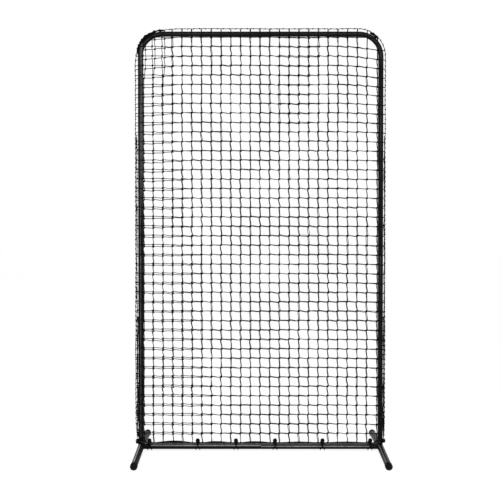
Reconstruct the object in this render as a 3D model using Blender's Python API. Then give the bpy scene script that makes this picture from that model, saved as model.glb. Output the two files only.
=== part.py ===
"""Baseball pitching screen: a knock-down frame of swaged steel tube under a slip-on net.

Metres, +Z up. The screen stands in the XZ plane and batted balls come from -Y.
The origin is on the ground, midway between the feet.
"""

import math

import bmesh
import bpy
from mathutils import Vector

# Steel tube of the frame
TUBE_RADIUS = 0.0127
TUBE_WALL = 0.0012
TUBE_SIDES = 16
FIT_GAP = 0.0003

# Frame, to the tubes' centre lines
FRAME_WIDTH = 1.194
TOP_HEIGHT = 2.083
RAIL_HEIGHT = 0.0275
CORNER_RADIUS = 0.110
CORNER_STEPS = 6
CORNER_JOINT_MESH = 14.5
MIDDLE_JOINT_MESH = 7.5

# Swaged joints: a necked end slides into the next tube
SPIGOT_LENGTH = 0.060
NECK_LENGTH = 0.0012
STUB_LENGTH = 0.036
STUB_FLOOR = 0.0005

# Base legs: one thicker tube from front to back, bent down a little to both sides
LEG_RADIUS = 0.0159
LEG_REACH = 0.305
LEG_BEND_HALF = 0.030

# Moulded caps on the legs' ends
CAP_LENGTH = 0.020
CAP_WALL = 0.0015
CAP_END = 0.003
CAP_ROUND = 0.0012
CAP_SIDES = 24
CAP_FLAT_DEPTH = 0.0009

# Snap buttons on folded leaf springs, inside the spigots
BUTTON_RADIUS = 0.0035
BUTTON_STAND_OUT = 0.0030
BUTTON_DOME = 0.0015
BUTTON_DOME_SHARES = ((0.82, 0.35), (0.45, 0.05))
BUTTON_SETBACK = 0.028
BUTTON_SIDES = 12
COLLAR_RADIUS = 0.0046
COLLAR_THICKNESS = 0.00085
COLLAR_DROP = 0.0016
LEAF_WIDTH = 0.006
LEAF_THICKNESS = 0.0006
LEAF_LENGTH = 0.034
LEAF_FOLD_RADIUS = 0.0014
LEAF_SEAT_HALF = 0.006
CUTTER_REACH = 0.006

# Net: two panels laced together on a seam cord outside the frame
TWINE = 0.0028
NET_COLUMNS = 9
NET_ROWS = 16
SEAM_RADIUS = 0.0018
SEAM_OUT_SIDE = 0.0230
SEAM_OUT_TOP = 0.0275
NET_GATHER_HEIGHT = 0.090
SEAM_POINT_SPACING = 0.120
SEAM_FOOT_RISE = 0.018
SEAM_FOOT_SHARE = 0.3
CROSSING_STEPS = 40

# Hem rope round the mouth of the net, drawn down on the bottom rail
ROPE_RADIUS = 0.0038
ROPE_RUN_HALF_GAP = 0.0044
ROPE_LIFT = 0.0035
ROPE_WRAP_RISE = 0.0260
ROPE_WRAP_FALL = 0.0010
ROPE_TURN_IN = 0.0330
ROPE_SPAN_STEPS = 4
ROPE_WRAP_STEPS = 4

# Ball bungees: a plastic ball and an elastic loop round rail and hem
BUNGEE_IN_LEFT = 0.043
BUNGEE_IN_RIGHT = 0.0515
BUNGEE_SHARES = (0, 0.219, 0.392, 0.569, 0.784, 1)
BALL_RADIUS = 0.0105
BALL_SIDES = 12
BALL_FORWARD = 0.0190
BALL_UP = 0.0355
BALL_HOLE_RADIUS = 0.0042
BALL_HOLE_FLOOR = 0.0035
ELASTIC_RADIUS = 0.0018
ELASTIC_WRAP_GAP = 0.0009
ELASTIC_SPREAD = 0.0095
ELASTIC_WRAP_STEPS = 6
ELASTIC_NECK_HALF = 0.0020
ELASTIC_CROSS_GAP = 0.0046
ELASTIC_NECK_GAP = 0.0030
ELASTIC_WRAP_START = math.radians(100)
ELASTIC_WRAP_TURN = math.radians(200)

# One strand's way down the front of the rail, from the rail's axis: across, forward of the wrap, up
ELASTIC_FRONT = ((-0.0016, -0.0012, 0.0170), (0, 0, 0.0080), (0.0071, 0, -0.0030))

# Its way over the hem to the bight: across, forward of the hem's middle, down from the top
ELASTIC_OVER = (
    (0.0090, -0.0122, 0.0074),
    (0.0083, -0.0100, 0.0024),
    (0.0078, -0.0060, 0),
    (0.0073, 0.0056, 0),
    (0.0069, 0.0138, 0.0010),
    (0.0062, 0.0176, 0.0020),
    (0.0042, 0.0203, 0.0024),
    (0, 0.0217, 0.0026),
)

# Worked out from the sizes above
HALF_WIDTH = FRAME_WIDTH / 2
TUBE_BORE = TUBE_RADIUS - TUBE_WALL
SPIGOT_RADIUS = TUBE_BORE - FIT_GAP
SPIGOT_BORE = SPIGOT_RADIUS - TUBE_WALL
SHOULDER = TUBE_RADIUS + STUB_LENGTH
LEG_BORE = LEG_RADIUS - TUBE_WALL
SOCKET_GAP = NECK_LENGTH + FIT_GAP
NET_DEPTH = TUBE_RADIUS + FIT_GAP + TWINE / 2
ROPE_HEIGHT = RAIL_HEIGHT + TUBE_RADIUS + ROPE_RADIUS + FIT_GAP
ROPE_WRAP_RADIUS = TUBE_RADIUS + ROPE_RADIUS + FIT_GAP
CAP_RADIUS = LEG_RADIUS + FIT_GAP + CAP_WALL
CAP_AXIS_HEIGHT = CAP_RADIUS - CAP_FLAT_DEPTH
CAP_MIDDLE = LEG_REACH - CAP_LENGTH / 2
LEG_SLOPE = math.atan2(RAIL_HEIGHT - CAP_AXIS_HEIGHT, CAP_MIDDLE - LEG_BEND_HALF / 2)
BALL_TILT = math.atan2(BALL_FORWARD, BALL_UP)
BUNGEE_START = -HALF_WIDTH + BUNGEE_IN_LEFT
BUNGEE_END = HALF_WIDTH - BUNGEE_IN_RIGHT
BUNGEE_X = [BUNGEE_START + share * (BUNGEE_END - BUNGEE_START) for share in BUNGEE_SHARES]
SEAM_X = HALF_WIDTH + SEAM_OUT_SIDE
SEAM_Z = TOP_HEIGHT + SEAM_OUT_TOP
MESH_WIDTH = 2 * SEAM_X / NET_COLUMNS
MESH_HEIGHT = (SEAM_Z - ROPE_HEIGHT) / NET_ROWS

# Each upright's buttons lie in the middle of a mesh, where a thumb can reach them
MIDDLE_JOINT_HEIGHT = ROPE_HEIGHT + MIDDLE_JOINT_MESH * MESH_HEIGHT - BUTTON_SETBACK
CORNER_JOINT_HEIGHT = ROPE_HEIGHT + CORNER_JOINT_MESH * MESH_HEIGHT - BUTTON_SETBACK

# Directions
X_AXIS = Vector((1, 0, 0))
Y_AXIS = Vector((0, 1, 0))
Z_AXIS = Vector((0, 0, 1))


def clear_scene():
    for obj in list(bpy.data.objects):
        bpy.data.objects.remove(obj)


def make_material(name, colour, roughness, metallic=0.0):
    material = bpy.data.materials.new(name)
    material.use_nodes = True
    shader = material.node_tree.nodes["Principled BSDF"]
    shader.inputs["Base Color"].default_value = (*colour, 1)
    shader.inputs["Roughness"].default_value = roughness
    shader.inputs["Metallic"].default_value = metallic
    return material


def add_empty(name, location, rotation=(0, 0, 0)):
    empty = bpy.data.objects.new(name, None)
    empty.location = location
    empty.rotation_euler = rotation
    bpy.context.scene.collection.objects.link(empty)
    return empty


def add_object(name, data, material, location=(0, 0, 0), rotation=(0, 0, 0), parent=None):
    obj = bpy.data.objects.new(name, data)
    if material is not None and not data.materials:
        data.materials.append(material)
    obj.location = location
    obj.rotation_euler = rotation
    obj.parent = parent
    bpy.context.scene.collection.objects.link(obj)
    return obj


def add_helper(name, data, location=(0, 0, 0), rotation=(0, 0, 0), parent=None):
    """A cutter or a shape for a Boolean, which isn't part of the model."""
    obj = add_object(name, data, None, location, rotation, parent)
    obj.hide_render = True
    obj.display_type = "WIRE"
    return obj


def boolean(obj, other, operation):
    modifier = obj.modifiers.new(f"{operation.lower()}_{other.name}", "BOOLEAN")
    modifier.operation = operation
    modifier.object = other


def finish_mesh(name, bm, sharp_degrees=40):
    """Closes the bmesh into a smooth-shaded mesh with its faces pointing out."""
    bmesh.ops.recalc_face_normals(bm, faces=bm.faces)
    mesh = bpy.data.meshes.new(name)
    bm.to_mesh(mesh)
    bm.free()
    mesh.shade_smooth()
    mesh.set_sharp_from_angle(angle=math.radians(sharp_degrees))
    return mesh


def ring(bm, centre, along, across, radius, sides):
    """A circle of vertices square to along. Half a step of turn puts a flat at each quarter."""
    up = along.cross(across).normalized()
    turns = [2 * math.pi * (i + 0.5) / sides for i in range(sides)]
    return [bm.verts.new(centre + radius * (math.cos(t) * across + math.sin(t) * up)) for t in turns]


def bridge(bm, first, second):
    count = len(first)
    for i in range(count):
        j = (i + 1) % count
        bm.faces.new((first[i], first[j], second[j], second[i]))


def loft(name, stations, across, sides=TUBE_SIDES):
    """A tube through stations of (centre, direction, outer radius, bore radius). A bore of 0 is solid."""
    bm = bmesh.new()
    outer = [ring(bm, c, d, across, radius, sides) for c, d, radius, _ in stations]
    for a, b in zip(outer, outer[1:]):
        bridge(bm, a, b)
    if stations[0][3] > 0:
        inner = [ring(bm, c, d, across, bore, sides) for c, d, _, bore in stations]
        for a, b in zip(inner, inner[1:]):
            bridge(bm, a, b)
        bridge(bm, outer[0], inner[0])
        bridge(bm, outer[-1], inner[-1])
    else:
        bm.faces.new(outer[0])
        bm.faces.new(outer[-1])
    return finish_mesh(name, bm)


def lathe(name, profile, sides):
    """Turns a profile of (radius, height) about +Z. Its ends lie on the axis."""
    bm = bmesh.new()
    start = math.pi / sides
    points = [bm.verts.new((r * math.cos(start), r * math.sin(start), height)) for r, height in profile]
    edges = [bm.edges.new(pair) for pair in zip(points, points[1:])]
    bmesh.ops.spin(
        bm,
        geom=points + edges,
        cent=(0, 0, 0),
        axis=(0, 0, 1),
        dvec=(0, 0, 0),
        angle=2 * math.pi,
        steps=sides,
        use_duplicate=False,
    )
    bmesh.ops.remove_doubles(bm, verts=bm.verts, dist=1e-6)
    return finish_mesh(name, bm)


def cylinder(name, radius, low, high, sides=TUBE_SIDES):
    """A plain cylinder along +Z, with the same turn of its flats as the tubes."""
    return loft(name, [(Z_AXIS * h, Z_AXIS, radius, 0) for h in (low, high)], X_AXIS, sides)


def spigot_stations(start, along):
    """The necked end of a tube, from its shoulder on."""
    return [
        (start, along, TUBE_RADIUS, TUBE_BORE),
        (start + NECK_LENGTH * along, along, SPIGOT_RADIUS, SPIGOT_BORE),
        (start + SPIGOT_LENGTH * along, along, SPIGOT_RADIUS, SPIGOT_BORE),
    ]


def straight_tube(name, length, necked):
    """A tube along +Z from 0 to its shoulder at length, with a spigot beyond if it is necked."""
    stations = [(Vector(), Z_AXIS, TUBE_RADIUS, TUBE_BORE)]
    end = Z_AXIS * length
    stations += spigot_stations(end, Z_AXIS) if necked else [(end, Z_AXIS, TUBE_RADIUS, TUBE_BORE)]
    return loft(name, stations, Y_AXIS)


def top_tube(name, necked):
    """A corner of the frame: up from its socket, round the bend, and level along +X to the middle."""
    rise = TOP_HEIGHT - CORNER_RADIUS - CORNER_JOINT_HEIGHT - SOCKET_GAP
    centre = Vector((CORNER_RADIUS, 0, rise))
    stations = [(Vector(), Z_AXIS, TUBE_RADIUS, TUBE_BORE)]
    for step in range(CORNER_STEPS + 1):
        turn = math.pi / 2 * step / CORNER_STEPS
        outward = Vector((-math.cos(turn), 0, math.sin(turn)))
        along = Vector((math.sin(turn), 0, math.cos(turn)))
        stations.append((centre + CORNER_RADIUS * outward, along, TUBE_RADIUS, TUBE_BORE))
    end = Vector((HALF_WIDTH if necked else HALF_WIDTH - SOCKET_GAP, 0, rise + CORNER_RADIUS))
    stations += spigot_stations(end, X_AXIS) if necked else [(end, X_AXIS, TUBE_RADIUS, TUBE_BORE)]
    return loft(name, stations, Y_AXIS)


def leg_stations(radius, end_reach):
    """The bent leg along Y, about the point where the upright and the rail meet it."""
    fall = math.tan(LEG_SLOPE)
    stations = []
    for y in (-end_reach, -LEG_BEND_HALF, 0, LEG_BEND_HALF, end_reach):
        past_bend = max(0, abs(y) - LEG_BEND_HALF / 2)
        slope = 0 if y == 0 else math.copysign(LEG_SLOPE if abs(y) > LEG_BEND_HALF else LEG_SLOPE / 2, y)
        along = Vector((0, math.cos(slope), -math.sin(slope)))
        stations.append((Vector((0, y, -fall * past_bend)), along, radius, 0))
    return stations


def base_leg(name, x, turn, material, parent):
    """A weldment: the leg with a stub up for the upright and a stub inwards for the bottom rail."""
    corner = add_empty(f"{name}_corner", (x, 0, RAIL_HEIGHT), (0, 0, turn))
    corner.parent = parent
    cap_floor = LEG_REACH - CAP_END - FIT_GAP
    leg = add_object(name, loft(name, leg_stations(LEG_RADIUS, cap_floor), X_AXIS), material, parent=corner)
    stub_stations = [
        (Vector(), Z_AXIS, TUBE_RADIUS, 0),
        (Z_AXIS * SHOULDER, Z_AXIS, TUBE_RADIUS, 0),
        (Z_AXIS * (SHOULDER + NECK_LENGTH), Z_AXIS, SPIGOT_RADIUS, 0),
        (Z_AXIS * (SHOULDER + SPIGOT_LENGTH), Z_AXIS, SPIGOT_RADIUS, 0),
    ]
    stub = loft(f"{name}_stub", stub_stations, Y_AXIS)
    bore = cylinder(f"{name}_bore", SPIGOT_BORE, LEG_RADIUS + STUB_FLOOR, SHOULDER + 2 * SPIGOT_LENGTH)
    ways = (("up", (0, 0, 0)), ("in", (0, math.pi / 2, 0)))
    for part, mesh, operation in (("stub", stub, "UNION"), ("bore", bore, "DIFFERENCE")):
        for way, rotation in ways:
            helper = add_helper(f"{name}_{way}_{part}", mesh, rotation=rotation, parent=corner)
            boolean(leg, helper, operation)
    core = loft(f"{name}_core", leg_stations(LEG_BORE, 2 * LEG_REACH), X_AXIS)
    boolean(leg, add_helper(f"{name}_leg_bore", core, parent=corner), "DIFFERENCE")
    return leg


def foot_cap(name):
    """A moulded cap about +Z, its mouth at 0 and its closed end at its length, with a flat to stand on."""
    bore = LEG_RADIUS + FIT_GAP
    profile = [
        (0, CAP_LENGTH - CAP_END),
        (bore, CAP_LENGTH - CAP_END),
        (bore, 0),
        (CAP_RADIUS, 0),
        (CAP_RADIUS, CAP_LENGTH - CAP_ROUND),
        (CAP_RADIUS - CAP_ROUND, CAP_LENGTH),
        (0, CAP_LENGTH),
    ]
    mesh = lathe(name, profile, CAP_SIDES)
    ground = Vector((0, -math.cos(LEG_SLOPE), math.sin(LEG_SLOPE)))
    foot = Vector((0, 0, CAP_LENGTH / 2)) + CAP_AXIS_HEIGHT * ground
    bm = bmesh.new()
    bm.from_mesh(mesh)
    geometry = bm.verts[:] + bm.edges[:] + bm.faces[:]
    cut = bmesh.ops.bisect_plane(bm, geom=geometry, plane_co=foot, plane_no=ground, clear_outer=True)
    rim = [item for item in cut["geom_cut"] if isinstance(item, bmesh.types.BMEdge)]
    bmesh.ops.holes_fill(bm, edges=rim)
    return finish_mesh(name, bm)


def snap_button(name):
    """A domed pin about +Z with a collar that stops it at the spigot's wall."""
    collar_top = SPIGOT_BORE - COLLAR_DROP
    tip = TUBE_RADIUS + BUTTON_STAND_OUT
    profile = [
        (0, collar_top - COLLAR_THICKNESS),
        (COLLAR_RADIUS, collar_top - COLLAR_THICKNESS),
        (COLLAR_RADIUS, collar_top),
        (BUTTON_RADIUS, collar_top),
        (BUTTON_RADIUS, tip - BUTTON_DOME),
    ]
    profile += [(BUTTON_RADIUS * out, tip - BUTTON_DOME * down) for out, down in BUTTON_DOME_SHARES]
    return lathe(name, profile + [(0, tip)], BUTTON_SIDES)


def strip_outline(line, thickness):
    """The closed outline of a strip of even thickness along a line of points."""
    sides = ([], [])
    for i, point in enumerate(line):
        before = (point - line[i - 1]).normalized() if i else (line[1] - point).normalized()
        after = (line[i + 1] - point).normalized() if i + 1 < len(line) else before
        along = (before + after).normalized()
        reach = thickness / 2 / max(0.5, along.dot(after))
        square = Vector((-along.y, along.x, 0))
        sides[0].append(point + reach * square)
        sides[1].append(point - reach * square)
    return sides[0] + sides[1][::-1]


def leaf_spring(name):
    """A folded leaf: one arm lies on the spigot's far wall, the other carries the button."""
    seat = SPIGOT_BORE - COLLAR_DROP - COLLAR_THICKNESS - FIT_GAP - LEAF_THICKNESS / 2
    wall = math.sqrt(SPIGOT_BORE**2 - (LEAF_WIDTH / 2) ** 2) - 2 * FIT_GAP - LEAF_THICKNESS / 2
    fold = Vector((-LEAF_LENGTH, 0, 0))
    line = [Vector((LEAF_SEAT_HALF, -wall, 0))]
    for turn in (-90, -135, -180, -225, -270):
        angle = math.radians(turn)
        line.append(fold + LEAF_FOLD_RADIUS * Vector((math.cos(angle), math.sin(angle), 0)))
    line += [Vector((-LEAF_SEAT_HALF, seat, 0)), Vector((LEAF_SEAT_HALF, seat, 0))]
    bm = bmesh.new()
    outline = [bm.verts.new(p - Z_AXIS * LEAF_WIDTH / 2) for p in strip_outline(line, LEAF_THICKNESS)]
    face = bm.faces.new(outline)
    raised = bmesh.ops.extrude_face_region(bm, geom=[face])
    moved = [item for item in raised["geom"] if isinstance(item, bmesh.types.BMVert)]
    bmesh.ops.translate(bm, verts=moved, vec=Z_AXIS * LEAF_WIDTH)
    return finish_mesh(name, bm, sharp_degrees=30)


def cord(name, points, radius, material, cyclic=False, location=(0, 0, 0), parent=None):
    """A round cord through points, as a bevelled curve."""
    curve = bpy.data.curves.new(name, "CURVE")
    curve.dimensions = "3D"
    curve.bevel_depth = radius
    curve.bevel_resolution = 1
    curve.use_fill_caps = not cyclic
    spline = curve.splines.new("POLY")
    spline.points.add(len(points) - 1)
    for slot, point in zip(spline.points, points):
        slot.co = (*point, 1)
    spline.use_cyclic_u = cyclic
    return add_object(name, curve, material, location, parent=parent)


def outside(x, z):
    """How far a point of the screen's plane lies outside the tubes' centre line, and how far the seam is."""
    past_x = abs(x) - (HALF_WIDTH - CORNER_RADIUS)
    past_z = z - (TOP_HEIGHT - CORNER_RADIUS)
    if past_x > 0 and past_z > 0:
        reach = math.hypot(past_x, past_z)
        share = (past_z / reach) ** 2
        return reach - CORNER_RADIUS, SEAM_OUT_SIDE + (SEAM_OUT_TOP - SEAM_OUT_SIDE) * share
    if past_z > 0 or past_z - past_x > 0:
        return z - TOP_HEIGHT, SEAM_OUT_TOP
    return abs(x) - HALF_WIDTH, SEAM_OUT_SIDE


def crossing(start, end, is_past):
    """The point between start and end, as (x, z), from which is_past holds."""
    low, high = 0.0, 1.0
    for _ in range(CROSSING_STEPS):
        middle = (low + high) / 2
        point = [a + (b - a) * middle for a, b in zip(start, end)]
        if is_past(*point):
            high = middle
        else:
            low = middle
    return point


def bend_out(seam):
    """Where a panel leaves the tube's face for the seam, so that it stays clear of the tube all the way."""
    return seam - math.sqrt(seam**2 - NET_DEPTH**2)


def at_bend(x, z):
    out, seam = outside(x, z)
    return out > bend_out(seam)


def at_seam(x, z):
    out, seam = outside(x, z)
    return out > seam - SEAM_RADIUS - FIT_GAP


def hem_height(x):
    """The hem rope's height: drawn down at each bungee, and lifted a little between them."""
    for left, right in zip(BUNGEE_X, BUNGEE_X[1:]):
        if left <= x <= right:
            return ROPE_HEIGHT + ROPE_LIFT * math.sin(math.pi * (x - left) / (right - left)) ** 2
    return ROPE_HEIGHT


def net_depth(x, z):
    """Half the distance between the two panels."""
    out, seam = outside(x, z)
    depth = NET_DEPTH * min(1, max(0, (seam - out) / (seam - bend_out(seam))))
    gathered = (z - ROPE_HEIGHT) / NET_GATHER_HEIGHT
    return min(depth, ROPE_RUN_HALF_GAP + (NET_DEPTH - ROPE_RUN_HALF_GAP) * max(0, gathered))


def net_panel(name, side, material, parent):
    """One panel: upright twines to the seam and the hem, crossed by level twines from seam to seam."""
    half = TWINE / 2
    columns = [i * MESH_WIDTH - SEAM_X for i in range(1, NET_COLUMNS)]
    rows = [ROPE_HEIGHT + j * MESH_HEIGHT for j in range(1, NET_ROWS)]
    bm = bmesh.new()
    corners = {}

    def corner(x, z):
        key = (round(x, 6), round(z, 6))
        if key not in corners:
            corners[key] = bm.verts.new((x, side * net_depth(x, z), z))
        return corners[key]

    def patch(left, right, low, high):
        bm.faces.new((corner(left, low), corner(right, low), corner(right, high), corner(left, high)))

    for x in columns:
        above = (x, TOP_HEIGHT + 2 * SEAM_OUT_TOP)
        top_bend = crossing((x, rows[-1]), above, at_bend)[1]
        top_end = crossing((x, rows[-1]), above, at_seam)[1]
        foot = hem_height(x) + ROPE_RADIUS + FIT_GAP
        heights = [foot, ROPE_HEIGHT + NET_GATHER_HEIGHT]
        for z in rows:
            heights += [z - half, z + half]
        heights += [top_bend, top_end]
        for low, high in zip(heights, heights[1:]):
            patch(x - half, x + half, low, high)
    for z in rows:
        beyond = (HALF_WIDTH + 2 * SEAM_OUT_SIDE, z)
        bend = crossing((columns[-1], z), beyond, at_bend)[0]
        end = crossing((columns[-1], z), beyond, at_seam)[0]
        places = [-end, -bend, -bend]
        for x in columns:
            places += [x - half, x + half]
        places += [bend, bend, end]
        for left, right in list(zip(places, places[1:]))[::2]:
            patch(left, right, z - half, z + half)
    mesh = bpy.data.meshes.new(name)
    bmesh.ops.recalc_face_normals(bm, faces=bm.faces)
    bm.to_mesh(mesh)
    bm.free()
    panel = add_object(name, mesh, material, parent=parent)
    solidify = panel.modifiers.new("twine", "SOLIDIFY")
    solidify.thickness = TWINE
    solidify.offset = 0
    return panel


def seam_points():
    """Up one side, round both corners and down the other, to just above the hem rope."""
    centre_x = HALF_WIDTH - CORNER_RADIUS
    centre_z = TOP_HEIGHT - CORNER_RADIUS
    wrap_x = HALF_WIDTH + ROPE_WRAP_RADIUS
    foot = RAIL_HEIGHT + ROPE_WRAP_RISE + ROPE_RADIUS + FIT_GAP
    right = [(wrap_x, foot), (wrap_x + SEAM_FOOT_SHARE * (SEAM_X - wrap_x), foot + SEAM_FOOT_RISE)]
    steps = round((centre_z - foot) / SEAM_POINT_SPACING)
    right += [(SEAM_X, foot + (centre_z - foot) * i / steps) for i in range(1, steps)]
    for step in range(2 * CORNER_STEPS + 1):
        turn = math.pi / 2 * step / (2 * CORNER_STEPS)
        out = CORNER_RADIUS + SEAM_OUT_SIDE + (SEAM_OUT_TOP - SEAM_OUT_SIDE) * math.sin(turn) ** 2
        right.append((centre_x + out * math.cos(turn), centre_z + out * math.sin(turn)))
    left = [(-x, z) for x, z in reversed(right)]
    return [(x, 0, z) for x, z in right + left]


def hem_rope_points():
    """Along the front of the rail, round one upright, back behind the rail, and round the other."""
    places = [-HALF_WIDTH + ROPE_TURN_IN]
    for left, right in zip(BUNGEE_X, BUNGEE_X[1:]):
        places += [left + (right - left) * step / ROPE_SPAN_STEPS for step in range(ROPE_SPAN_STEPS)]
    places += [BUNGEE_X[-1], HALF_WIDTH - ROPE_TURN_IN]
    run = [(x, -ROPE_RUN_HALF_GAP, hem_height(x)) for x in places]
    right_wrap = rope_wrap_points()
    left_wrap = [(-x, y, z) for x, y, z in right_wrap]
    front = left_wrap + run + right_wrap[::-1]
    back = [(x, -y, z) for x, y, z in front[-2:0:-1]]
    return front + back


def rope_wrap_points():
    """From the outer side of the upright at +X round to its front, and on towards the rail."""
    wrap_z = RAIL_HEIGHT + ROPE_WRAP_RISE
    points = []
    for step in range(ROPE_WRAP_STEPS + 1):
        turn = math.pi / 2 * step / ROPE_WRAP_STEPS
        x = HALF_WIDTH + ROPE_WRAP_RADIUS * math.cos(turn)
        points.append((x, -ROPE_WRAP_RADIUS * math.sin(turn), wrap_z))
    inner = HALF_WIDTH - TUBE_RADIUS - ROPE_RADIUS
    points.append((inner, -ROPE_WRAP_RADIUS, wrap_z - ROPE_WRAP_FALL))
    return points


def elastic_points():
    """One loop, about the rail's axis: out of the ball, down the front to where its two strands cross,
    under the rail, up behind it and over the hem to a bight round the strands at the ball's neck."""
    wrap = TUBE_RADIUS + ELASTIC_RADIUS + ELASTIC_WRAP_GAP
    over = TUBE_RADIUS + 2 * ROPE_RADIUS + ELASTIC_RADIUS + ELASTIC_WRAP_GAP
    pull = Vector((0, -math.sin(BALL_TILT), math.cos(BALL_TILT)))
    ball = Vector((0, -BALL_FORWARD, BALL_UP))
    inside = ball - pull * (BALL_HOLE_FLOOR + FIT_GAP + ELASTIC_RADIUS / 2)
    mouth = ball - pull * (BALL_RADIUS + FIT_GAP)
    halves = []
    for side, gaps in ((-1, (0, 0, 0)), (1, (ELASTIC_NECK_GAP, ELASTIC_CROSS_GAP, 0))):
        half = [point + X_AXIS * side * ELASTIC_NECK_HALF for point in (inside, mouth)]
        for (across, forward, up), gap in zip(ELASTIC_FRONT, gaps):
            half.append(Vector((-side * across, -wrap - forward - gap, up)))
        for step in range(1, ELASTIC_WRAP_STEPS + 1):
            turn = ELASTIC_WRAP_START + ELASTIC_WRAP_TURN * step / ELASTIC_WRAP_STEPS
            half.append(Vector((-side * ELASTIC_SPREAD, -wrap * math.sin(turn), wrap * math.cos(turn))))
        half += [Vector((-side * across, -forward, over - down)) for across, forward, down in ELASTIC_OVER]
        halves.append(half)
    return halves[0] + halves[1][-2::-1]


def build_frame(root, steel):
    """The tubes, from the ground up. Each one's socket sits over the spigot of the one before."""
    socket_up = RAIL_HEIGHT + SHOULDER + SOCKET_GAP
    lower = straight_tube("lower_upright", MIDDLE_JOINT_HEIGHT - socket_up, True)
    upper_foot = MIDDLE_JOINT_HEIGHT + SOCKET_GAP
    upper = straight_tube("upper_upright", CORNER_JOINT_HEIGHT - upper_foot, True)
    tubes = {}
    for side, x, turn in (("left", -HALF_WIDTH, 0), ("right", HALF_WIDTH, math.pi)):
        tubes[f"base_{side}"] = base_leg(f"base_leg_{side}", x, turn, steel, root)
        foot = (x, 0, socket_up)
        tubes[f"lower_{side}"] = add_object(f"lower_upright_{side}", lower, steel, foot, parent=root)
        foot = (x, 0, upper_foot)
        tubes[f"upper_{side}"] = add_object(f"upper_upright_{side}", upper, steel, foot, parent=root)
        corner = top_tube(f"top_tube_{side}", side == "left")
        foot = (x, 0, CORNER_JOINT_HEIGHT + SOCKET_GAP)
        tubes[f"top_{side}"] = add_object(f"top_tube_{side}", corner, steel, foot, (0, 0, turn), root)
    rail_start = HALF_WIDTH - SHOULDER - SOCKET_GAP
    along_x = (0, math.pi / 2, 0)
    halves = (("left", -rail_start, 0, True), ("right", SOCKET_GAP, rail_start, False))
    for side, start, end, necked in halves:
        name = f"bottom_rail_{side}"
        rail = straight_tube(name, end - start, necked)
        tubes[f"rail_{side}"] = add_object(name, rail, steel, (start, 0, RAIL_HEIGHT), along_x, root)
    return tubes


def build_snap_joints(root, tubes, bright_steel, spring_steel):
    """A button and its leaf at each joint, with holes for the button in the spigot and the socket."""
    to_button = SHOULDER + BUTTON_SETBACK
    up, right, left = -math.pi / 2, 0, math.pi
    middle = MIDDLE_JOINT_HEIGHT + BUTTON_SETBACK
    corner = CORNER_JOINT_HEIGHT + BUTTON_SETBACK
    places = []
    for side, x in (("left", -HALF_WIDTH), ("right", HALF_WIDTH)):
        inward = right if side == "left" else left
        rail_x = x + to_button if side == "left" else x - to_button
        places += [
            (f"base_{side}", (x, 0, RAIL_HEIGHT + to_button), up, f"base_{side}", f"lower_{side}"),
            (f"rail_{side}", (rail_x, 0, RAIL_HEIGHT), inward, f"base_{side}", f"rail_{side}"),
            (f"middle_{side}", (x, 0, middle), up, f"lower_{side}", f"upper_{side}"),
            (f"corner_{side}", (x, 0, corner), up, f"upper_{side}", f"top_{side}"),
        ]
    places += [
        ("rail_centre", (BUTTON_SETBACK, 0, RAIL_HEIGHT), right, "rail_left", "rail_right"),
        ("top_centre", (BUTTON_SETBACK, 0, TOP_HEIGHT), right, "top_left", "top_right"),
    ]
    button = snap_button("snap_button")
    leaf = leaf_spring("leaf_spring")
    hole = cylinder(
        "button_hole", BUTTON_RADIUS + FIT_GAP, CUTTER_REACH, TUBE_RADIUS + CUTTER_REACH, BUTTON_SIDES
    )
    to_back = (-math.pi / 2, 0, 0)
    for joint, place, turn, spigot, socket in places:
        seat = add_empty(f"{joint}_joint", place, (0, turn, 0))
        seat.parent = root
        add_object(f"snap_button_{joint}", button, bright_steel, rotation=to_back, parent=seat)
        add_object(f"leaf_spring_{joint}", leaf, spring_steel, parent=seat)
        cutter = add_helper(f"button_hole_{joint}", hole, rotation=to_back, parent=seat)
        boolean(tubes[spigot], cutter, "DIFFERENCE")
        boolean(tubes[socket], cutter, "DIFFERENCE")


def build_feet(root, rubber):
    cap = foot_cap("foot_cap")
    mouth = CAP_MIDDLE - CAP_LENGTH / 2 * math.cos(LEG_SLOPE)
    mouth_z = CAP_AXIS_HEIGHT + CAP_LENGTH / 2 * math.sin(LEG_SLOPE)
    for side, x in (("left", -HALF_WIDTH), ("right", HALF_WIDTH)):
        for end, way in (("front", -1), ("rear", 1)):
            turn = 0 if way < 0 else math.pi
            pivot = add_empty(f"foot_{end}_{side}", (x, way * mouth, mouth_z), (0, 0, turn))
            pivot.parent = root
            tilt = (math.pi / 2 + LEG_SLOPE, 0, 0)
            add_object(f"end_cap_{end}_{side}", cap, rubber, rotation=tilt, parent=pivot)


def build_net(root, twine, rope):
    net_panel("net_front", -1, twine, root)
    net_panel("net_back", 1, twine, root)
    cord("seam_cord", seam_points(), SEAM_RADIUS, rope, parent=root)
    cord("hem_rope", hem_rope_points(), ROPE_RADIUS, rope, cyclic=True, parent=root)


def bungee_ball(name):
    """A ball about +Z with a blind hole in its underside for the elastic."""
    profile = [(0, -BALL_HOLE_FLOOR), (BALL_HOLE_RADIUS, -BALL_HOLE_FLOOR)]
    start = math.asin(BALL_HOLE_RADIUS / BALL_RADIUS)
    steps = BALL_SIDES // 2
    for step in range(steps):
        turn = start + (math.pi - start) * step / steps
        profile.append((BALL_RADIUS * math.sin(turn), -BALL_RADIUS * math.cos(turn)))
    return lathe(name, profile + [(0, BALL_RADIUS)], BALL_SIDES)


def build_bungees(root, plastic, elastic):
    ball = bungee_ball("bungee_ball")
    route = elastic_points()
    for number, x in enumerate(BUNGEE_X, 1):
        centre = (x, -BALL_FORWARD, RAIL_HEIGHT + BALL_UP)
        add_object(f"bungee_ball_{number}", ball, plastic, centre, (BALL_TILT, 0, 0), root)
        rail = (x, 0, RAIL_HEIGHT)
        cord(f"bungee_loop_{number}", route, ELASTIC_RADIUS, elastic, location=rail, parent=root)


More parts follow.
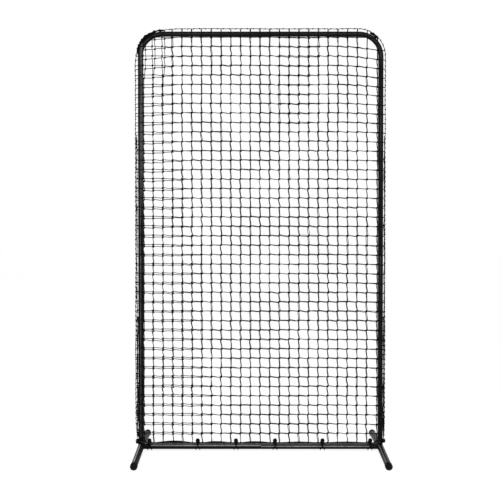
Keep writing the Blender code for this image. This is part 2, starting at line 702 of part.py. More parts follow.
def build():
    clear_scene()
    steel = make_material("black_powder_coat", (0.018, 0.018, 0.019), 0.42, 0.0)
    rubber = make_material("black_rubber", (0.012, 0.012, 0.012), 0.75)
    twine = make_material("black_twine", (0.012, 0.012, 0.013), 0.85)
    rope = make_material("black_rope", (0.010, 0.010, 0.011), 0.80)
    elastic = make_material("black_elastic", (0.010, 0.010, 0.010), 0.70)
    plastic = make_material("black_plastic", (0.010, 0.010, 0.010), 0.30)
    bright_steel = make_material("zinc_plated_steel", (0.62, 0.62, 0.60), 0.28, 1.0)
    spring_steel = make_material("spring_steel", (0.30, 0.30, 0.31), 0.35, 1.0)
    root = add_empty("pitching_screen", (0, 0, 0))
    tubes = build_frame(root, steel)
    build_snap_joints(root, tubes, bright_steel, spring_steel)
    build_feet(root, rubber)
    build_net(root, twine, rope)
    build_bungees(root, plastic, elastic)


build()
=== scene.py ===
"""Looks of the baseball pitching screen: its full netting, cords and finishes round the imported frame."""

import random
from math import acos, atan2, copysign, cos, degrees, hypot, pi, radians, sin, sqrt, tan

import bmesh
import bpy
from mathutils import Matrix, Vector, noise


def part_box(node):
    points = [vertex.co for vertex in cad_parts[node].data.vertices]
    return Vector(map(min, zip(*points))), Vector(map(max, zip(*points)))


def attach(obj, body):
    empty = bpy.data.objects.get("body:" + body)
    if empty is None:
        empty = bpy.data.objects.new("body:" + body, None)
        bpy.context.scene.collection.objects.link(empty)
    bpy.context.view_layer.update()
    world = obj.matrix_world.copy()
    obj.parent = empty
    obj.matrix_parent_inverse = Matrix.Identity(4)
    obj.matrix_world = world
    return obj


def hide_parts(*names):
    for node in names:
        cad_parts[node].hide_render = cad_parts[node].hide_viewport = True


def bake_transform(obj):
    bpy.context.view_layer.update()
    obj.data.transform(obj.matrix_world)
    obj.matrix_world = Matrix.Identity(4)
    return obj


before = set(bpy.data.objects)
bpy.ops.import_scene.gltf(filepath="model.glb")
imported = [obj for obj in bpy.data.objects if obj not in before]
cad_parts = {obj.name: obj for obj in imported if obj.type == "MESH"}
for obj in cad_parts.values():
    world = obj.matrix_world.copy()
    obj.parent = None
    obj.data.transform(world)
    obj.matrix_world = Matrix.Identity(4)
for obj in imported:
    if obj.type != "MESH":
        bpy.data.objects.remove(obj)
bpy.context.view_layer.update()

# Camera, from the perspective of the photograph's legs and rails
CAMERA_X = -0.053
CAMERA_DISTANCE = 4.616
CAMERA_HEIGHT = 1.327
CAMERA_TILT = radians(0.99)

# Frame sizes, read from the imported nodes. Each top corner bends round (BEND_X, BEND_Z)
UPRIGHT_LOW, UPRIGHT_HIGH = (Vector(c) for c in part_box("upper_upright_right"))
TOP_LOW, TOP_HIGH = (Vector(c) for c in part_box("top_tube_right"))
RAIL_LOW, RAIL_HIGH = (Vector(c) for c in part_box("bottom_rail_right"))
HALF_WIDTH = (UPRIGHT_LOW.x + UPRIGHT_HIGH.x) / 2
TUBE_RADIUS = 0.0127
TOP_HEIGHT = TOP_HIGH.z - TUBE_RADIUS
RAIL_HEIGHT = (RAIL_LOW.z + RAIL_HIGH.z) / 2
CORNER_RADIUS = 0.11
BEND_X = HALF_WIDTH - CORNER_RADIUS
BEND_Z = TOP_HEIGHT - CORNER_RADIUS
SIDES = {"left": -1, "right": 1}
GAP = 0.0003

# Tubes and their joints
TUBE_WALL = 0.0012
TUBE_BORE = TUBE_RADIUS - TUBE_WALL
SPIGOT_RADIUS = TUBE_BORE - GAP
SPIGOT_BORE = SPIGOT_RADIUS - TUBE_WALL
SPIGOT_LENGTH = 0.06
NECK_LENGTH = 0.0012
NECK_EASE = 0.0003
SHOULDER = TUBE_RADIUS + 0.036
SOCKET_GAP = NECK_LENGTH + GAP
MIDDLE_JOINT = UPRIGHT_LOW.z - SOCKET_GAP
CORNER_JOINT = TOP_LOW.z - SOCKET_GAP
FINE_SIDES = 48
END_ROUND = 0.0004
EDGE_BREAK = 0.0003
SHARP_EDGE = radians(50)
SOFT_EDGE = radians(60)

# Snap buttons and their holes, by distance from the tube's middle line
HOLE_RADIUS = 0.0038
HOLE_DEPTHS = (0.006, 0.02)
COLLAR_RADIUS = 0.0046
COLLAR_START = 0.0076
COLLAR_END = 0.0084
PIN_RADIUS = 0.0035
PIN_ROUND = 0.0016
PIN_FLAT = 0.0009
PIN_END = TUBE_RADIUS + 0.003

# Base legs and end caps
LEG_RADIUS = 0.0159
LEG_REACH = 0.305
LEG_BEND_HALF = 0.03
STUB_ROOT = LEG_RADIUS - 0.006
WELD_RADIUS = 0.0016
WELD_PROUD = 0.0004
WELD_RIPPLE = 0.0003
CAP_LENGTH = 0.02
CAP_END = 0.003
CAP_RADIUS = LEG_RADIUS + 0.0018
CAP_AXIS_HEIGHT = CAP_RADIUS - 0.0009
CAP_MIDDLE = LEG_REACH - CAP_LENGTH / 2
CAP_LIP = 0.0022
CAP_LIP_END = 0.0026
CAP_LIP_STEP = 0.00035
CAP_ROUND = 0.0022
LEG_SLOPE = atan2(RAIL_HEIGHT - CAP_AXIS_HEIGHT, CAP_MIDDLE - LEG_BEND_HALF / 2)

# Painted highlights: pale lines along the tubes' fronts in place of reflected light. The axis across each,
# its place there, half its width, its tone and the height from which it shows
RAIL_FACE_HIGHLIGHT = ("Z", RAIL_HEIGHT + 0.0108, 0.0046, 0.055, 0)
PAINTED_HIGHLIGHTS = {
    "rail_left": [RAIL_FACE_HIGHLIGHT, ("Z", RAIL_HEIGHT + 0.0074, 0.0031, 0.26, 0)],
    "rail_right": [RAIL_FACE_HIGHLIGHT, ("Z", RAIL_HEIGHT + 0.0036, 0.0031, 0.26, 0)],
    "leg_left": [("X", -0.0025, 0.0034, 0.42, 0)],
    "leg_right": [("X", -0.0094, 0.003, 0.15, 0), ("X", 0.0042, 0.0028, 0.06, 0)],
    "upright_left": [
        ("X", 0.008 - HALF_WIDTH, 0.005, 0.085, 1.15),
        ("X", 0.0004 - HALF_WIDTH, 0.0026, 0.065, 0),
    ],
    "upright_right": [],
}
HIGHLIGHT_FRONT = -0.001
HIGHLIGHT_EDGE = 0.003
HIGHLIGHT_RISE = 0.25
LEG_HIGHLIGHT_FRONT = -TUBE_RADIUS - 0.002
# Painted light and shade: one coat on both legs, made to reflect less on the left leg than on the right
LEG_SPECULAR = {-1: 0.03, 1: 0.055}

# Netting
TWINE_RADIUS = 0.0018
TIGHT_TWINE = TWINE_RADIUS * 0.95
LOOSE_TWINE = TWINE_RADIUS * 0.9
HITCH_TWINE = TWINE_RADIUS * 0.8
COLUMNS = 26
ROWS = 44
FIRST_COLUMN_X = -0.582
SECOND_COLUMN_X = -0.5354
LAST_COLUMN_X = 0.5805
COLUMN_PITCH = 0.04836
FIRST_ROW_Z = 2.0675
SECOND_ROW_Z = 2.022
ROW_PITCH = 0.04702
LAYER_SHIFT = 0.0014
NET_DEPTH = TUBE_RADIUS + GAP + TWINE_RADIUS
GATHER_HEIGHT = 0.09
CELL_SHARES = (0, 0.16, 0.38, 0.62, 0.84)
EDGE_SHARES = [k / 10 for k in range(10)]
LEAN_SHARE = 0.16
COLUMN_SWAY = (0.0016, -0.0036)
ROW_SWAY = (0.0014, 0.0028)
ON_TUBE = 0.016
SEAM_MARGIN = 0.007
PAST_SEAM = 0.3
EDGE_FALL = 0.02
FOOT_STRAY = 0.003
KNOT_FLATNESS = 0.8
KNOT_RADIUS = 0.0052
KNOT_HALF_LENGTH = KNOT_RADIUS * 0.95
KNOT_LIFT = 0.0003
HITCH_WIDTH = 0.0028

# How the netting hangs
FRONT_RISE = 0.0055
BACK_DROP = 0.005
BACK_DROP_ABOVE = 0.0135
BACK_SAG = 0.0055
SAG_COLUMN = 16.8
SINK_COLUMN = 20.5
SINK_SPREAD = 4.5
SINK = 0.0025
SINK_ABOVE = 0.0165
BACK_PULL = 0.01
WANDER_X = 0.0016
WANDER_Z = 0.0012
JITTER_X = 0.0009
JITTER_Z = 0.0008
JITTER_SCALE = 37

# Seam cord, and how it and the net's edge run
SEAM_HIGH = Vector(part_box("seam_cord")[1])
SEAM_RADIUS = 0.0018
SEAM_X = SEAM_HIGH.x - SEAM_RADIUS
SEAM_Z = SEAM_HIGH.z - SEAM_RADIUS
SEAM_OUT_SIDE = SEAM_X - HALF_WIDTH
SEAM_OUT_TOP = SEAM_Z - TOP_HEIGHT
SEAM_CORE_RADIUS = 0.0013
SEAM_FOOT_OUT = 0.002
SEAM_FOOT_RISE = 0.018
SEAM_INSET = 0.0012
SEAM_BEND_INSET = 0.001
SEAM_WANDER = 0.001
LACING_RADIUS = 0.0011
LACING_REACH = 0.002
LACING_STEP = 0.004
SEAM_FLARE = 0.0034
SEAM_DIP = 0.0078

# Hem rope
ROPE_RADIUS = 0.0038
ROPE_HALF_GAP = 0.0044
ROPE_HEIGHT = RAIL_HEIGHT + TUBE_RADIUS + ROPE_RADIUS + GAP
ROPE_LIFT = 0.0035
WRAP_RADIUS = TUBE_RADIUS + ROPE_RADIUS + GAP
WRAP_HEIGHT = RAIL_HEIGHT + 0.026
WRAP_FALL = 0.001
ROPE_TURN_IN = 0.033
ROPE_LAY = 0.022

# Netting bunched along the hem rope, the first layers between it and the rail
BUNCH_INSET = 0.016
BUNCH_BULGES = (0.0048, 0.001, 0.0006, 0, 0)
BUNCH_STAGGER = 0.004
BUNCH_STEP = 0.01
RAIL_LAYERS = 2
BULGING_LAYERS = 3
LAYER_PITCH = 0.0022
RAIL_BUNCH_OUT = 0.0038
RAIL_BUNCH_RISE = 0.0012
TUCK_IN = 0.0026
TUCK_DOWN = 0.0036

# Netting bunched round the uprights' feet: side, twines, swell and rise
FOOT_BUNCHES = ((-1, 5, 0.0004, 0), (1, 4, 0.0002, 0.0045))
FOOT_PITCH = 0.003
FOOT_PLAY = 0.0004
FOOT_WANDER = 0.0012

# Loose meshes folded beside the uprights: insets by side, and each fold's head and lift
SLACK_INSETS = {-1: 0.0074, 1: 0.0046}
SLACK_FOOT = 0.075
SLACK_FOLDS = ((1.58, 0.0004), (0.68, 0.001))
SLACK_LAYER = 0.0026
SLACK_MARGIN = 0.0008
SLACK_WANDER = 0.0028

# Netting bunched over the top corners: side, twines, first and last degree, how much later each twine
# starts and sooner it ends, and lift. The longest runs on along the top
CORNER_BUNCHES = ((-1, 9, 4, 74, 1.2, 1.8, 0), (1, 3, 48, 64, 0, 0, 0.0035))
LONGEST_TWINE = 8
LONGEST_END = 96
GATHER_SWELL = 0.0045
GATHER_STRAY = 0.0025

# Balls and their elastic, by distance across, forward and up from the rail's axis or from the rope's top
BALL_RADIUS = 0.0105
BALL_FORWARD = 0.019
BALL_UP = 0.0355
BALL_TILT = atan2(BALL_FORWARD, BALL_UP)
BALL_HOLE_FLOOR = 0.0035
BALL_HOLE_RADIUS = 0.0042
MOULDING_LINE = 0.0001
ELASTIC_RADIUS = 0.0018
COVER_RADIUS = 0.0021
ELASTIC_PLAY = 0.0009
ELASTIC_APART = 0.002
UNDER_APART = 0.0095
ELASTIC_FRONT = ((-0.0016, -0.0012, 0.017), (0, 0, 0.008), (0.0071, 0, -0.003))
CROSSING_GAPS = (0.003, 0.0046, 0)
ELASTIC_OVER = (
    (0.009, -0.0122, 0.0074),
    (0.0083, -0.01, 0.0024),
    (0.0078, -0.006, 0),
    (0.0073, 0.0056, 0),
    (0.0069, 0.0138, 0.001),
    (0.0062, 0.0176, 0.002),
    (0.0042, 0.0203, 0.0024),
    (0, 0.0217, 0.0026),
)
BUNGEE_X = [sum(c[0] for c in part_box(f"bungee_ball_{n}")) / 2 for n in range(1, 7)]
BAYS = list(zip(BUNGEE_X, BUNGEE_X[1:]))

# Light and ground
LAMP_PLACE = (0.0, -2.6, 2.3)
FLOOR_HALF = 14.0
FLOOR_GLOW_SHARE = 0.75

X_AXIS = Vector((1, 0, 0))
Y_AXIS = Vector((0, 1, 0))
Z_AXIS = Vector((0, 0, 1))


# Mesh building

class Shape:
    """The vertices and faces of one piece."""

    def __init__(self):
        self.points = []
        self.faces = []

    def ring(self, centre, across, up, radius, sides):
        start = len(self.points)
        for k in range(sides):
            turn = 2 * pi * k / sides
            self.points.append(centre + radius * (cos(turn) * across + sin(turn) * up))
        return range(start, start + sides)

    def bridge(self, first, second):
        count = len(first)
        for k in range(count):
            n = (k + 1) % count
            self.faces.append((first[k], first[n], second[n], second[k]))

    def cord(self, path, radius, sides=5, closed=False, side_axis=Y_AXIS):
        """A round cord along a path, closed at its ends or on itself."""
        rings = []
        count = len(path)
        for k, point in enumerate(path):
            before = path[k - 1] if k or closed else point
            after = path[(k + 1) % count] if k + 1 < count or closed else point
            along = (after - before).normalized()
            up = along.cross(side_axis)
            if up.length < 0.2:
                up = along.cross(X_AXIS)
            up.normalize()
            rings.append(self.ring(point, up.cross(along).normalized(), up, radius, sides))
        for a, b in zip(rings, rings[1:]):
            self.bridge(a, b)
        if closed:
            self.bridge(rings[-1], rings[0])
        else:
            self.faces.append(tuple(reversed(rings[0])))
            self.faces.append(tuple(rings[-1]))

    def add(self, template, place):
        """Adds a copy of a template of (points, faces), moved by a matrix."""
        start = len(self.points)
        self.points += [place @ p for p in template[0]]
        self.faces += [tuple(start + v for v in face) for face in template[1]]

    def turned(self, profile, across, up, sides):
        """A skin turned about +Z from points of (radius, height), closed where radius is 0."""
        rings = []
        for radius, height in profile:
            if radius > 0:
                rings.append(self.ring(Z_AXIS * height, across, up, radius, sides))
            else:
                self.points.append(Z_AXIS * height)
                rings.append([len(self.points) - 1])
        for a, b in zip(rings, rings[1:]):
            tip, rim = sorted((a, b), key=len)
            if len(tip) == 1:
                self.faces += [(*tip, rim[k], rim[(k + 1) % sides]) for k in range(sides)]
            else:
                self.bridge(a, b)

    def make(self, name, material, edge=SOFT_EDGE):
        mesh = bpy.data.meshes.new(name)
        mesh.from_pydata([tuple(p) for p in self.points], [], self.faces)
        bm = bmesh.new()
        bm.from_mesh(mesh)
        bmesh.ops.recalc_face_normals(bm, faces=bm.faces)
        bm.to_mesh(mesh)
        bm.free()
        smooth(mesh, edge)
        return add_piece(name, mesh, material)


def add_piece(name, mesh, material):
    piece = bpy.data.objects.new(name, mesh)
    mesh.materials.append(material)
    bpy.context.scene.collection.objects.link(piece)
    return piece


def smooth(mesh, edge):
    """Shades a mesh smooth but for edges sharper than the angle."""
    mesh.shade_smooth()
    mesh.set_sharp_from_angle(angle=edge)


def in_frame(x, z):
    """A point of the frame's middle plane."""
    return Vector((x, 0, z))


def turned_at(point, turn, axis="Y", size=1.0):
    """Scales, turns about an axis and moves to a point."""
    return Matrix.Translation(point) @ Matrix.Rotation(turn, 4, axis) @ Matrix.Scale(size, 4)


def smooth_path(points, steps, closed=False):
    """A smooth curve through the points."""
    count = len(points)
    path = []
    for k in range(count if closed else count - 1):
        near = [(k + n) % count if closed else min(max(k + n, 0), count - 1) for n in (-1, 0, 1, 2)]
        a, b, c, d = (points[n] for n in near)
        for step in range(steps):
            t = step / steps
            square = (2 * a - 5 * b + 4 * c - d) * t**2
            path.append(0.5 * (2 * b + (c - a) * t + square + (3 * b - a - 3 * c + d) * t**3))
    if not closed:
        path.append(points[-1])
    return path


def lathe(name, profile, material, place, sides=FINE_SIDES):
    """A piece turned about +Z from points of (radius, height), moved by a matrix."""
    shape = Shape()
    shape.turned(profile, X_AXIS, Y_AXIS, sides)
    piece = shape.make(name, material, SHARP_EDGE)
    piece.data.transform(place)
    return piece


def arc(centre, radius, start, end, steps):
    """Profile points on an arc, from start to end in degrees."""
    x, y = centre
    return [(x + radius * cos(turn), y + radius * sin(turn)) for turn in turns(start, end, steps)]


def turns(start, end, steps):
    """Equally spaced angles from start to end in degrees."""
    return [radians(start + (end - start) * k / steps) for k in range(steps + 1)]


# Materials

class Nodes:
    """The node tree of a world or a material."""

    def __init__(self, owner):
        owner.use_nodes = True
        self.tree = owner.node_tree

    def feed(self, node, inputs):
        """Gives each input a value or another node's output."""
        for key, value in inputs.items():
            if isinstance(value, bpy.types.NodeSocket):
                self.tree.links.new(value, node.inputs[key])
            else:
                node.inputs[key].default_value = value

    def new(self, kind, inputs=None, **settings):
        node = self.tree.nodes.new("ShaderNode" + kind)
        for key, value in settings.items():
            setattr(node, key, value)
        self.feed(node, inputs or {})
        return node

    def maths(self, operation, a, b):
        return self.new("Math", {0: a, 1: b}, operation=operation).outputs["Value"]

    def seen_directly(self):
        """1 for rays that meet the background, 0 for those that light the part."""
        rays = self.new("LightPath").outputs
        seen = self.maths("MAXIMUM", rays["Is Camera Ray"], rays["Is Glossy Ray"])
        return self.maths("MAXIMUM", seen, rays["Is Transmission Ray"])

    def mix(self, share, first, second, end):
        """Shows the second shader by share and the first by the rest."""
        mixed = self.new("MixShader", {"Fac": share, 1: first, 2: second})
        self.feed(self.tree.nodes[end], {"Surface": mixed.outputs["Shader"]})


class Finish(Nodes):
    """A material's nodes, with calls that the finishes share."""

    def __init__(self, name, colour, roughness, metallic=0.0, specular=0.5):
        self.material = bpy.data.materials.new(name)
        super().__init__(self.material)
        self.shader = self.tree.nodes["Principled BSDF"]
        self.show("Base Color", (*colour, 1))
        self.show("Roughness", roughness)
        self.show("Metallic", metallic)
        self.show("Specular IOR Level", specular)
        self.coords = self.new("TexCoord").outputs["Object"]

    def show(self, key, value):
        self.feed(self.shader, {key: value})

    def noise(self, scale, detail):
        inputs = {"Scale": scale, "Detail": detail, "Vector": self.coords}
        return self.new("TexNoise", inputs).outputs["Fac"]

    def axes(self):
        """The object's own X, Y and Z at each point."""
        return self.new("SeparateXYZ", {"Vector": self.coords}).outputs

    def wave(self, scale, turn, distortion=0.0):
        """Stripes across X and Z, turned about Y."""
        spin = self.new("Mapping", {"Rotation": (0, turn, 0), "Vector": self.coords})
        inputs = {"Scale": scale, "Distortion": distortion, "Vector": spin.outputs["Vector"]}
        return self.new("TexWave", inputs, bands_direction="X").outputs["Fac"]

    def spread(self, value, low, high, start=0.0, end=1.0):
        inputs = {"Value": value, "From Min": start, "From Max": end, "To Min": low, "To Max": high}
        return self.new("MapRange", inputs).outputs["Result"]

    def blend(self, share, first, second):
        """A colour between two, each a colour or another node's output."""
        first, second = ((*end, 1) if isinstance(end, tuple) else end for end in (first, second))
        return self.new("Mix", {0: share, 6: first, 7: second}, data_type="RGBA").outputs[2]

    def shade(self, value, dark, light):
        """Base colour between dark and light."""
        self.show("Base Color", self.blend(value, dark, light))

    def rough(self, scale, detail, low, high):
        self.show("Roughness", self.spread(self.noise(scale, detail), low, high))

    def bump(self, value, height, strength):
        node = self.new("Bump", {"Strength": strength, "Distance": height, "Height": value})
        self.show("Normal", node.outputs["Normal"])


def powder_coat(tube, front=HIGHLIGHT_FRONT, specular=0.07):
    """Black powder: a fine orange peel, faint mottling and a tube's painted highlight lines."""
    n = Finish(f"powder_coat_{tube}", (0.0045, 0.0045, 0.0048), 0.36, specular=specular)
    coat = n.blend(n.noise(26, 4), (0.002, 0.002, 0.0022), (0.0054, 0.0054, 0.0058))
    axes = n.axes()
    facing = n.spread(axes["Y"], 1, 0, front - HIGHLIGHT_EDGE, front)
    # painted highlights: pale lines on the tube's front in place of reflected light
    highlight_mask = n.maths("MULTIPLY", facing, n.spread(n.noise(45, 3), 0.5, 1.1, 0.3, 0.7))
    for axis, middle, half, tone, foot in PAINTED_HIGHLIGHTS[tube]:
        off = n.maths("ABSOLUTE", n.maths("SUBTRACT", axes[axis], middle), 0)
        line = n.maths("MULTIPLY", highlight_mask, n.spread(off, 1, 0, 0.3 * half, half))
        if foot:
            line = n.maths("MULTIPLY", line, n.spread(axes["Z"], 0, 1, foot, foot + HIGHLIGHT_RISE))
        coat = n.blend(line, coat, (tone, tone, tone))
    n.show("Base Color", coat)
    n.rough(60, 5, 0.3, 0.42)
    n.bump(n.noise(1500, 2), 0.00004, 0.5)
    return n.material


def rubber():
    n = Finish("cap_rubber", (0.006, 0.006, 0.006), 0.72, specular=0.05)
    n.shade(n.noise(140, 4), (0.0035, 0.0035, 0.0035), (0.0085, 0.0085, 0.0083))
    n.rough(300, 3, 0.62, 0.82)
    n.bump(n.noise(2600, 2), 0.00006, 0.6)
    return n.material


def twisted_twine(name, scale, deep, raised, painted_highlight_tone):
    """Twine with slanting fibres: paler where they rise, with painted shade in the grooves, and a pale
    painted highlight on the fibres low by the rail.
    """
    n = Finish(name, (0.005, 0.005, 0.0052), 0.8, specular=0.04)
    lay = n.wave(scale, pi / 4, 1.0)
    risen = n.maths("MULTIPLY", lay, n.noise(90, 3))
    # painted highlight: the risen fibres low by the rail turn pale grey, as lit faces
    low = n.spread(n.axes()["Z"], 1, 0, ROPE_HEIGHT - 0.0005, ROPE_HEIGHT + 0.003)
    # paler crests and darker grooves of the lay: partly random tone, partly painted shade in the grooves
    fibre = n.blend(risen, deep, raised)
    n.shade(n.maths("MULTIPLY", low, risen), fibre, painted_highlight_tone)
    n.rough(220, 3, 0.7, 0.92)
    n.bump(lay, 0.00025, 0.7)
    return n.material


def braided_cover():
    """Elastic's woven cover: two crossing lays, paler on their ridges with painted shade in the gaps
    between them.
    """
    n = Finish("elastic_cover", (0.004, 0.004, 0.004), 0.72, specular=0.03)
    weave = n.maths("MAXIMUM", n.wave(420, pi / 4), n.wave(420, -pi / 4))
    # painted shade: darker in the gaps between the lays, following their relief
    n.shade(weave, (0.0015, 0.0015, 0.0015), (0.006, 0.006, 0.006))
    n.rough(300, 2, 0.62, 0.82)
    n.bump(weave, 0.0002, 0.6)
    return n.material


def ball_plastic():
    n = Finish("ball_plastic", (0.003, 0.003, 0.003), 0.45, specular=0.03)
    n.shade(n.noise(160, 3), (0.0015, 0.0015, 0.0015), (0.004, 0.004, 0.004))
    n.rough(420, 4, 0.4, 0.52)
    n.bump(n.noise(900, 2), 0.00003, 0.4)
    return n.material


def plated_steel():
    n = Finish("plated_steel", (0.6, 0.6, 0.58), 0.3, metallic=1.0)
    n.shade(n.noise(500, 3), (0.48, 0.48, 0.47), (0.66, 0.66, 0.64))
    n.rough(700, 3, 0.22, 0.42)
    n.bump(n.noise(2500, 2), 0.00002, 0.3)
    return n.material


def spring_steel():
    n = Finish("spring_steel", (0.28, 0.28, 0.3), 0.38, metallic=1.0)
    n.shade(n.noise(300, 3), (0.2, 0.2, 0.22), (0.34, 0.34, 0.35))
    n.rough(500, 3, 0.3, 0.48)
    return n.material


# Frame tubes

def loft(name, stations, across, material):
    """A tube through stations of (centre, direction, outer radius, bore radius)."""
    shape = Shape()
    skins = ([], [])
    for centre, along, outer, bore in stations:
        up = along.cross(across).normalized()
        for skin, radius in zip(skins, (outer, bore)):
            skin.append(shape.ring(centre, across, up, radius, FINE_SIDES))
    for skin in skins:
        for a, b in zip(skin, skin[1:]):
            shape.bridge(a, b)
    shape.bridge(skins[0][0], skins[1][0])
    shape.bridge(skins[0][-1], skins[1][-1])
    return shape.make(name, material, SHARP_EDGE)


def open_end(point, along):
    """Stations of a plain tube end, its outer edge broken. along points out of it."""
    return [
        (point - along * END_ROUND, along, TUBE_RADIUS, TUBE_BORE),
        (point, along, TUBE_RADIUS - END_ROUND, TUBE_BORE),
    ]


def spigot_end(point, along):
    """Stations of a swaged end, from its shoulder to its tip."""
    return [
        (point, along, TUBE_RADIUS, TUBE_BORE),
        (point + along * NECK_LENGTH * 0.4, along, TUBE_RADIUS - NECK_EASE, TUBE_BORE - NECK_EASE),
        (point + along * NECK_LENGTH, along, SPIGOT_RADIUS, SPIGOT_BORE),
        (point + along * (SPIGOT_LENGTH - END_ROUND), along, SPIGOT_RADIUS, SPIGOT_BORE),
        (point + along * SPIGOT_LENGTH, along, SPIGOT_RADIUS - END_ROUND, SPIGOT_BORE),
    ]


def socket_start(point, along):
    """The same plain end, with along pointing into the tube."""
    return [(p, along, outer, bore) for p, _, outer, bore in reversed(open_end(point, -along))]


def straight_tube(name, start, end, along, necked, material):
    finish = spigot_end(end, along) if necked else open_end(end, along)
    return loft(name, socket_start(start, along) + finish, Y_AXIS, material)


def top_tube(name, side, necked, material):
    """A top corner: up, round the bend and in to the middle."""
    stations = socket_start(in_frame(side * HALF_WIDTH, CORNER_JOINT + SOCKET_GAP), Z_AXIS)
    centre = in_frame(side * BEND_X, BEND_Z)
    for turn in turns(0, 90, 24):
        outward = in_frame(side * cos(turn), sin(turn))
        along = in_frame(-side * sin(turn), cos(turn))
        stations.append((centre + CORNER_RADIUS * outward, along, TUBE_RADIUS, TUBE_BORE))
    if necked:
        stations += spigot_end(in_frame(0, TOP_HEIGHT), in_frame(-side, 0))
    else:
        stations += open_end(in_frame(side * SOCKET_GAP, TOP_HEIGHT), in_frame(-side, 0))
    return loft(name, stations, Y_AXIS, material)


def cut_button_hole(piece, place):
    """A round hole in the tube's back for a snap button."""
    shape = Shape()
    shape.cord([place + Y_AXIS * depth for depth in HOLE_DEPTHS], HOLE_RADIUS, 32)
    cutter = shape.make(f"{piece.name}_cutter", piece.data.materials[0])
    modifier = piece.modifiers.new("hole", "BOOLEAN")
    modifier.operation = "DIFFERENCE"
    modifier.object = cutter
    evaluated = piece.evaluated_get(bpy.context.evaluated_depsgraph_get())
    mesh = bpy.data.meshes.new_from_object(evaluated)
    piece.modifiers.clear()
    piece.data = mesh
    smooth(mesh, SHARP_EDGE)
    bpy.data.objects.remove(cutter)


def leg_station(y):
    """A station of the base leg, which is bent under the upright."""
    run = max(0, abs(y) - LEG_BEND_HALF / 2)
    if abs(y) < LEG_BEND_HALF:
        run = y * y / (2 * LEG_BEND_HALF)
    slope = copysign(LEG_SLOPE * min(1, abs(y) / LEG_BEND_HALF), y)
    centre = Vector((0, y, -tan(LEG_SLOPE) * run))
    return centre, Vector((0, cos(slope), -sin(slope))), LEG_RADIUS, LEG_RADIUS - TUBE_WALL


def base_leg(name, x, side, holes, material):
    """A bent leg with two stubs, each with a button hole and a bead of weld."""
    end = LEG_REACH - CAP_END - GAP
    bend = [LEG_BEND_HALF * k / 6 for k in range(-6, 7)]
    leg = loft(name, [leg_station(y) for y in [-end, -end / 2] + bend + [end / 2, end]], X_AXIS, material)
    for way, hole in zip((Z_AXIS, in_frame(-side, 0)), holes):
        root = [(way * STUB_ROOT, way, TUBE_RADIUS, SPIGOT_BORE)]
        stub = loft(f"{name}_stub", root + spigot_end(way * SHOULDER, way), Y_AXIS, material)
        cut_button_hole(stub, hole)
        join(leg, stub)
        join(leg, weld_bead(f"{name}_weld", way, material))
    leg.location = (x, 0, RAIL_HEIGHT)
    return leg


def weld_bead(name, way, material):
    """A rippled bead along the saddle where a stub meets the leg."""
    shape = Shape()
    up = way.cross(Y_AXIS).normalized()
    path = []
    for turn in turns(0, 360, 96)[:-1]:
        reach = TUBE_RADIUS + WELD_PROUD + WELD_RIPPLE * sin(turn * 30)
        aside = reach * sin(turn)
        rise = sqrt(LEG_RADIUS**2 - aside**2) + WELD_PROUD / 2
        path.append(Y_AXIS * reach * cos(turn) + up * aside + way * rise)
    shape.cord(path, WELD_RADIUS, 8, closed=True, side_axis=way)
    return shape.make(name, material)


def join(piece, other):
    """Adds another mesh to a piece, as one object."""
    bm = bmesh.new()
    bm.from_mesh(piece.data)
    bm.from_mesh(other.data)
    bm.to_mesh(piece.data)
    bm.free()
    bpy.data.objects.remove(other)
    smooth(piece.data, SHARP_EDGE)


def end_cap(name, x, way, material):
    """A cap with a rounded end, a shallow dish and a thin lip, flat where it stands."""
    bore = LEG_RADIUS + GAP
    body = CAP_RADIUS - CAP_LIP_STEP
    inner_end = CAP_LENGTH - CAP_END
    shoulder = CAP_LENGTH - CAP_ROUND
    dish_end = CAP_LENGTH - EDGE_BREAK
    profile = [(0, inner_end), (bore, inner_end), (bore, 0), (CAP_RADIUS - EDGE_BREAK, 0)]
    profile += [(CAP_RADIUS, EDGE_BREAK), (CAP_RADIUS, CAP_LIP), (body, CAP_LIP_END), (body, shoulder)]
    profile += arc((body - CAP_ROUND, shoulder), CAP_ROUND, 0, 90, 8)[1:]
    profile += [(CAP_RADIUS * 0.55, CAP_LENGTH), (CAP_RADIUS * 0.52, dish_end), (0, dish_end)]
    tilt = Matrix.Rotation(pi / 2 + LEG_SLOPE, 4, "X")
    turn = Matrix.Rotation(0 if way < 0 else pi, 4, "Z")
    mouth = Vector((x, way * (CAP_MIDDLE - CAP_LENGTH / 2 * cos(LEG_SLOPE)), 0))
    mouth.z = CAP_AXIS_HEIGHT + CAP_LENGTH / 2 * sin(LEG_SLOPE)
    cap = lathe(name, profile, material, Matrix.Translation(mouth) @ turn @ tilt)
    bm = bmesh.new()
    bm.from_mesh(cap.data)
    ground = {"plane_co": (0, 0, 0), "plane_no": (0, 0, -1), "clear_outer": True}
    cut = bmesh.ops.bisect_plane(bm, geom=bm.verts[:] + bm.edges[:] + bm.faces[:], **ground)
    bmesh.ops.holes_fill(bm, edges=[e for e in cut["geom_cut"] if isinstance(e, bmesh.types.BMEdge)])
    bm.to_mesh(cap.data)
    bm.free()
    cap.data.set_sharp_from_angle(angle=SHARP_EDGE)
    return cap


def snap_button(name, place, material):
    """A domed pin that stands out of the tube's back."""
    profile = [(0, COLLAR_START), (COLLAR_RADIUS, COLLAR_START), (COLLAR_RADIUS, COLLAR_END)]
    profile += [(PIN_RADIUS, COLLAR_END), (PIN_RADIUS, PIN_END - PIN_ROUND)]
    profile += arc((PIN_RADIUS - PIN_ROUND, PIN_END - PIN_ROUND), PIN_ROUND, 0, 80, 6)[1:]
    profile += [(PIN_FLAT, PIN_END), (0, PIN_END)]
    return lathe(name, profile, material, turned_at(place, -pi / 2, "X"), 32)


def button_place(joint):
    """Where a joint's button is, on the tubes' middle line."""
    low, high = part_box(f"snap_button_{joint}")
    return in_frame((low[0] + high[0]) / 2, (low[2] + high[2]) / 2)


